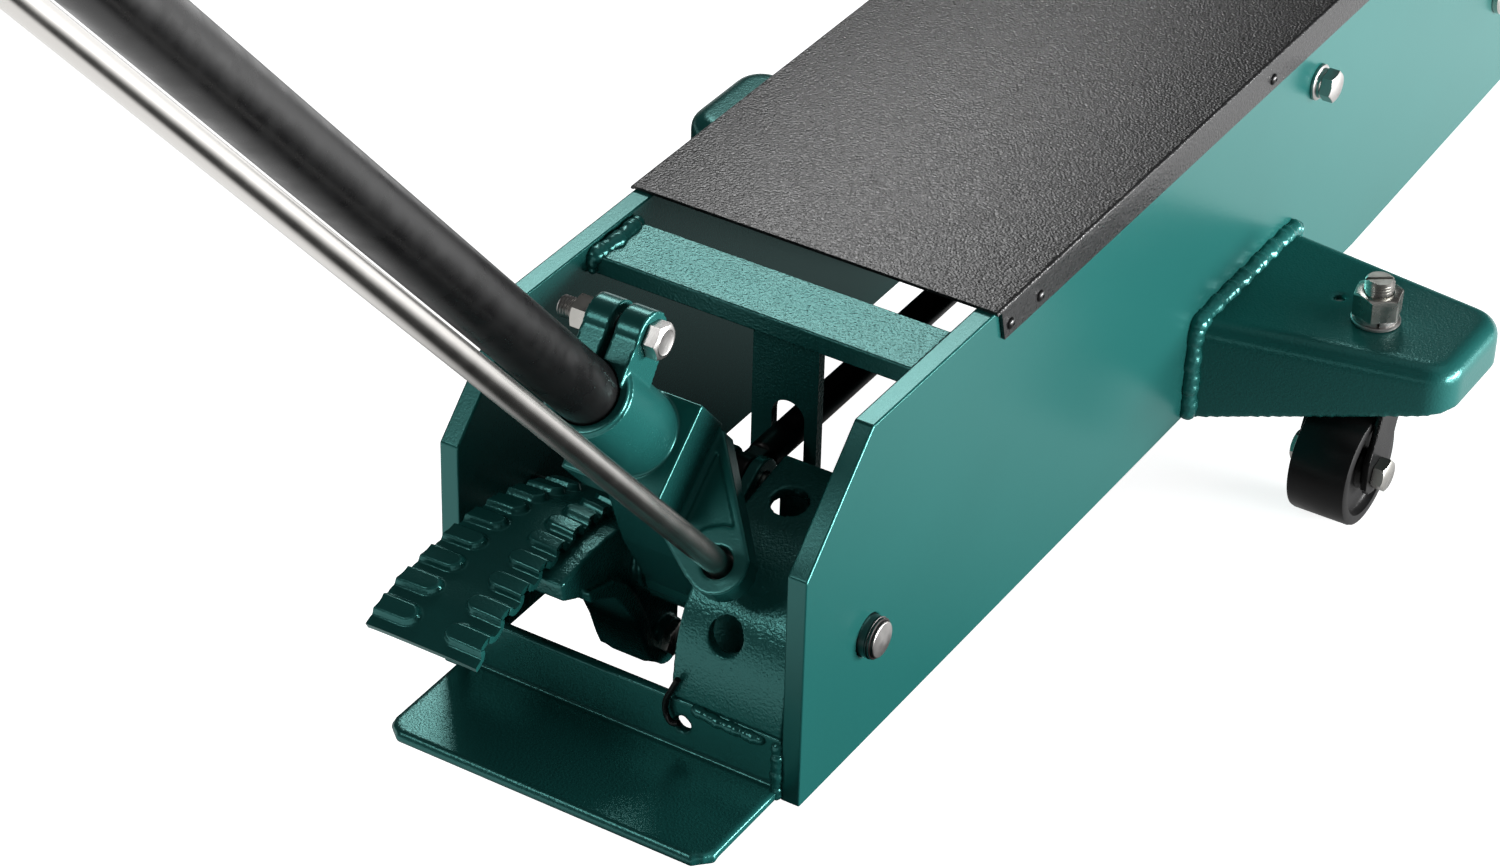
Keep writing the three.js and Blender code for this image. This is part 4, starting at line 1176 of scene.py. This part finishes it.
def dimFloorLight():
    # the floor shows white but lights the jack only from those two sides, like a cut-out studio shot
    tree = floorFinish.node_tree
    path = tree.nodes.new("ShaderNodeLightPath")
    coords = tree.nodes.new("ShaderNodeTexCoord")
    glows = []
    for name, direction in (("ahead", (0.5, 0.85, 0)), ("behind", (-0.5, -0.85, 0))):
        along = tree.nodes.new("ShaderNodeVectorMath")
        along.operation = "DOT_PRODUCT"
        along.inputs[1].default_value = direction
        tree.links.new(coords.outputs["Object"], along.inputs[0])
        fade = tree.nodes.new("ShaderNodeMapRange")
        fade.inputs["From Min"].default_value, fade.inputs["From Max"].default_value = floorGlow[name][:2]
        fade.inputs["To Max"].default_value = floorGlow[name][2]
        tree.links.new(along.outputs["Value"], fade.inputs["Value"])
        glows.append(fade)
    total = tree.nodes.new("ShaderNodeMath")
    total.operation = "ADD"
    glow = tree.nodes.new("ShaderNodeEmission")
    for fade, socket in zip(glows, total.inputs):
        tree.links.new(fade.outputs["Result"], socket)
    tree.links.new(total.outputs["Value"], glow.inputs["Strength"])
    mix = tree.nodes.new("ShaderNodeMixShader")
    tree.links.new(path.outputs["Is Camera Ray"], mix.inputs["Fac"])
    tree.links.new(glow.outputs["Emission"], mix.inputs[1])
    tree.links.new(floorShader.outputs["BSDF"], mix.inputs[2])
    tree.links.new(mix.outputs["Shader"], tree.nodes["Material Output"].inputs["Surface"])


dimFloorLight()
floorData.materials.append(floorFinish)

world = bpy.data.worlds.new("studio")
bpy.context.scene.world = world
world.use_nodes = True
world.node_tree.nodes["Background"].inputs["Color"].default_value = (1, 1, 1, 1)
world.node_tree.nodes["Background"].inputs["Strength"].default_value = 0.05

softLights = {
    "topSoft": {"at": (0.6, 0.3, 3.4), "to": (0, 0, 0), "size": (2.6, 2.6), "power": 6},
    "farSoft": {"at": (-1.1, 1.6, 1.83), "to": (0, -0.2, 0.25), "size": (1.0, 0.6), "power": 18},
    "rightSoft": {"at": (2.9, 0.9, 0.29), "to": (0, 0.2, 0.15), "size": (2.4, 0.5), "power": 300},
    "rearSoft": {"at": (-1.2, -2.7, 2.2), "to": (0, -0.3, 0.15), "size": (0.9, 0.7), "power": 16},
}


def makeLight(name, choice):
    light = bpy.data.lights.new(name, "AREA")
    light.shape = "RECTANGLE"
    light.size, light.size_y = choice["size"]
    light.energy = choice["power"]
    lamp = bpy.data.objects.new(name, light)
    bpy.context.scene.collection.objects.link(lamp)
    spot = Vector(choice["at"])
    turn = (Vector(choice["to"]) - spot).to_track_quat("-Z", "Y").to_matrix().to_4x4()
    lamp.matrix_world = Matrix.Translation(spot) @ turn


for name, choice in softLights.items():
    makeLight(name, choice)

cameraView = {"place": (1005.8, -1531.9, 1460.1), "azimuth": 31.187, "elevation": 34.549, "roll": 1.555,
              "lens": 103.57}


def makeCamera():
    azimuth = math.radians(cameraView["azimuth"])
    elevation = math.radians(cameraView["elevation"])
    roll = math.radians(cameraView["roll"])
    flat = math.cos(elevation)
    back = Vector((math.sin(azimuth) * flat, -math.cos(azimuth) * flat, math.sin(elevation)))
    level = (-back).cross(Vector((0, 0, 1))).normalized()
    upright = level.cross(-back).normalized()
    right = level * math.cos(roll) + upright * math.sin(roll)
    up = upright * math.cos(roll) - level * math.sin(roll)
    turn = Matrix((right, up, back)).transposed().to_4x4()
    lens = bpy.data.cameras.new("view")
    lens.lens = cameraView["lens"]
    lens.sensor_width = 36
    lens.clip_end = 50
    camera = bpy.data.objects.new("view", lens)
    bpy.context.scene.collection.objects.link(camera)
    camera.matrix_world = Matrix.Translation(chassisFrame @ Vector(cameraView["place"])) @ turn
    bpy.context.scene.camera = camera


makeCamera()
bpy.context.scene.view_settings.view_transform = "Standard"
print("floor, lights and camera made")
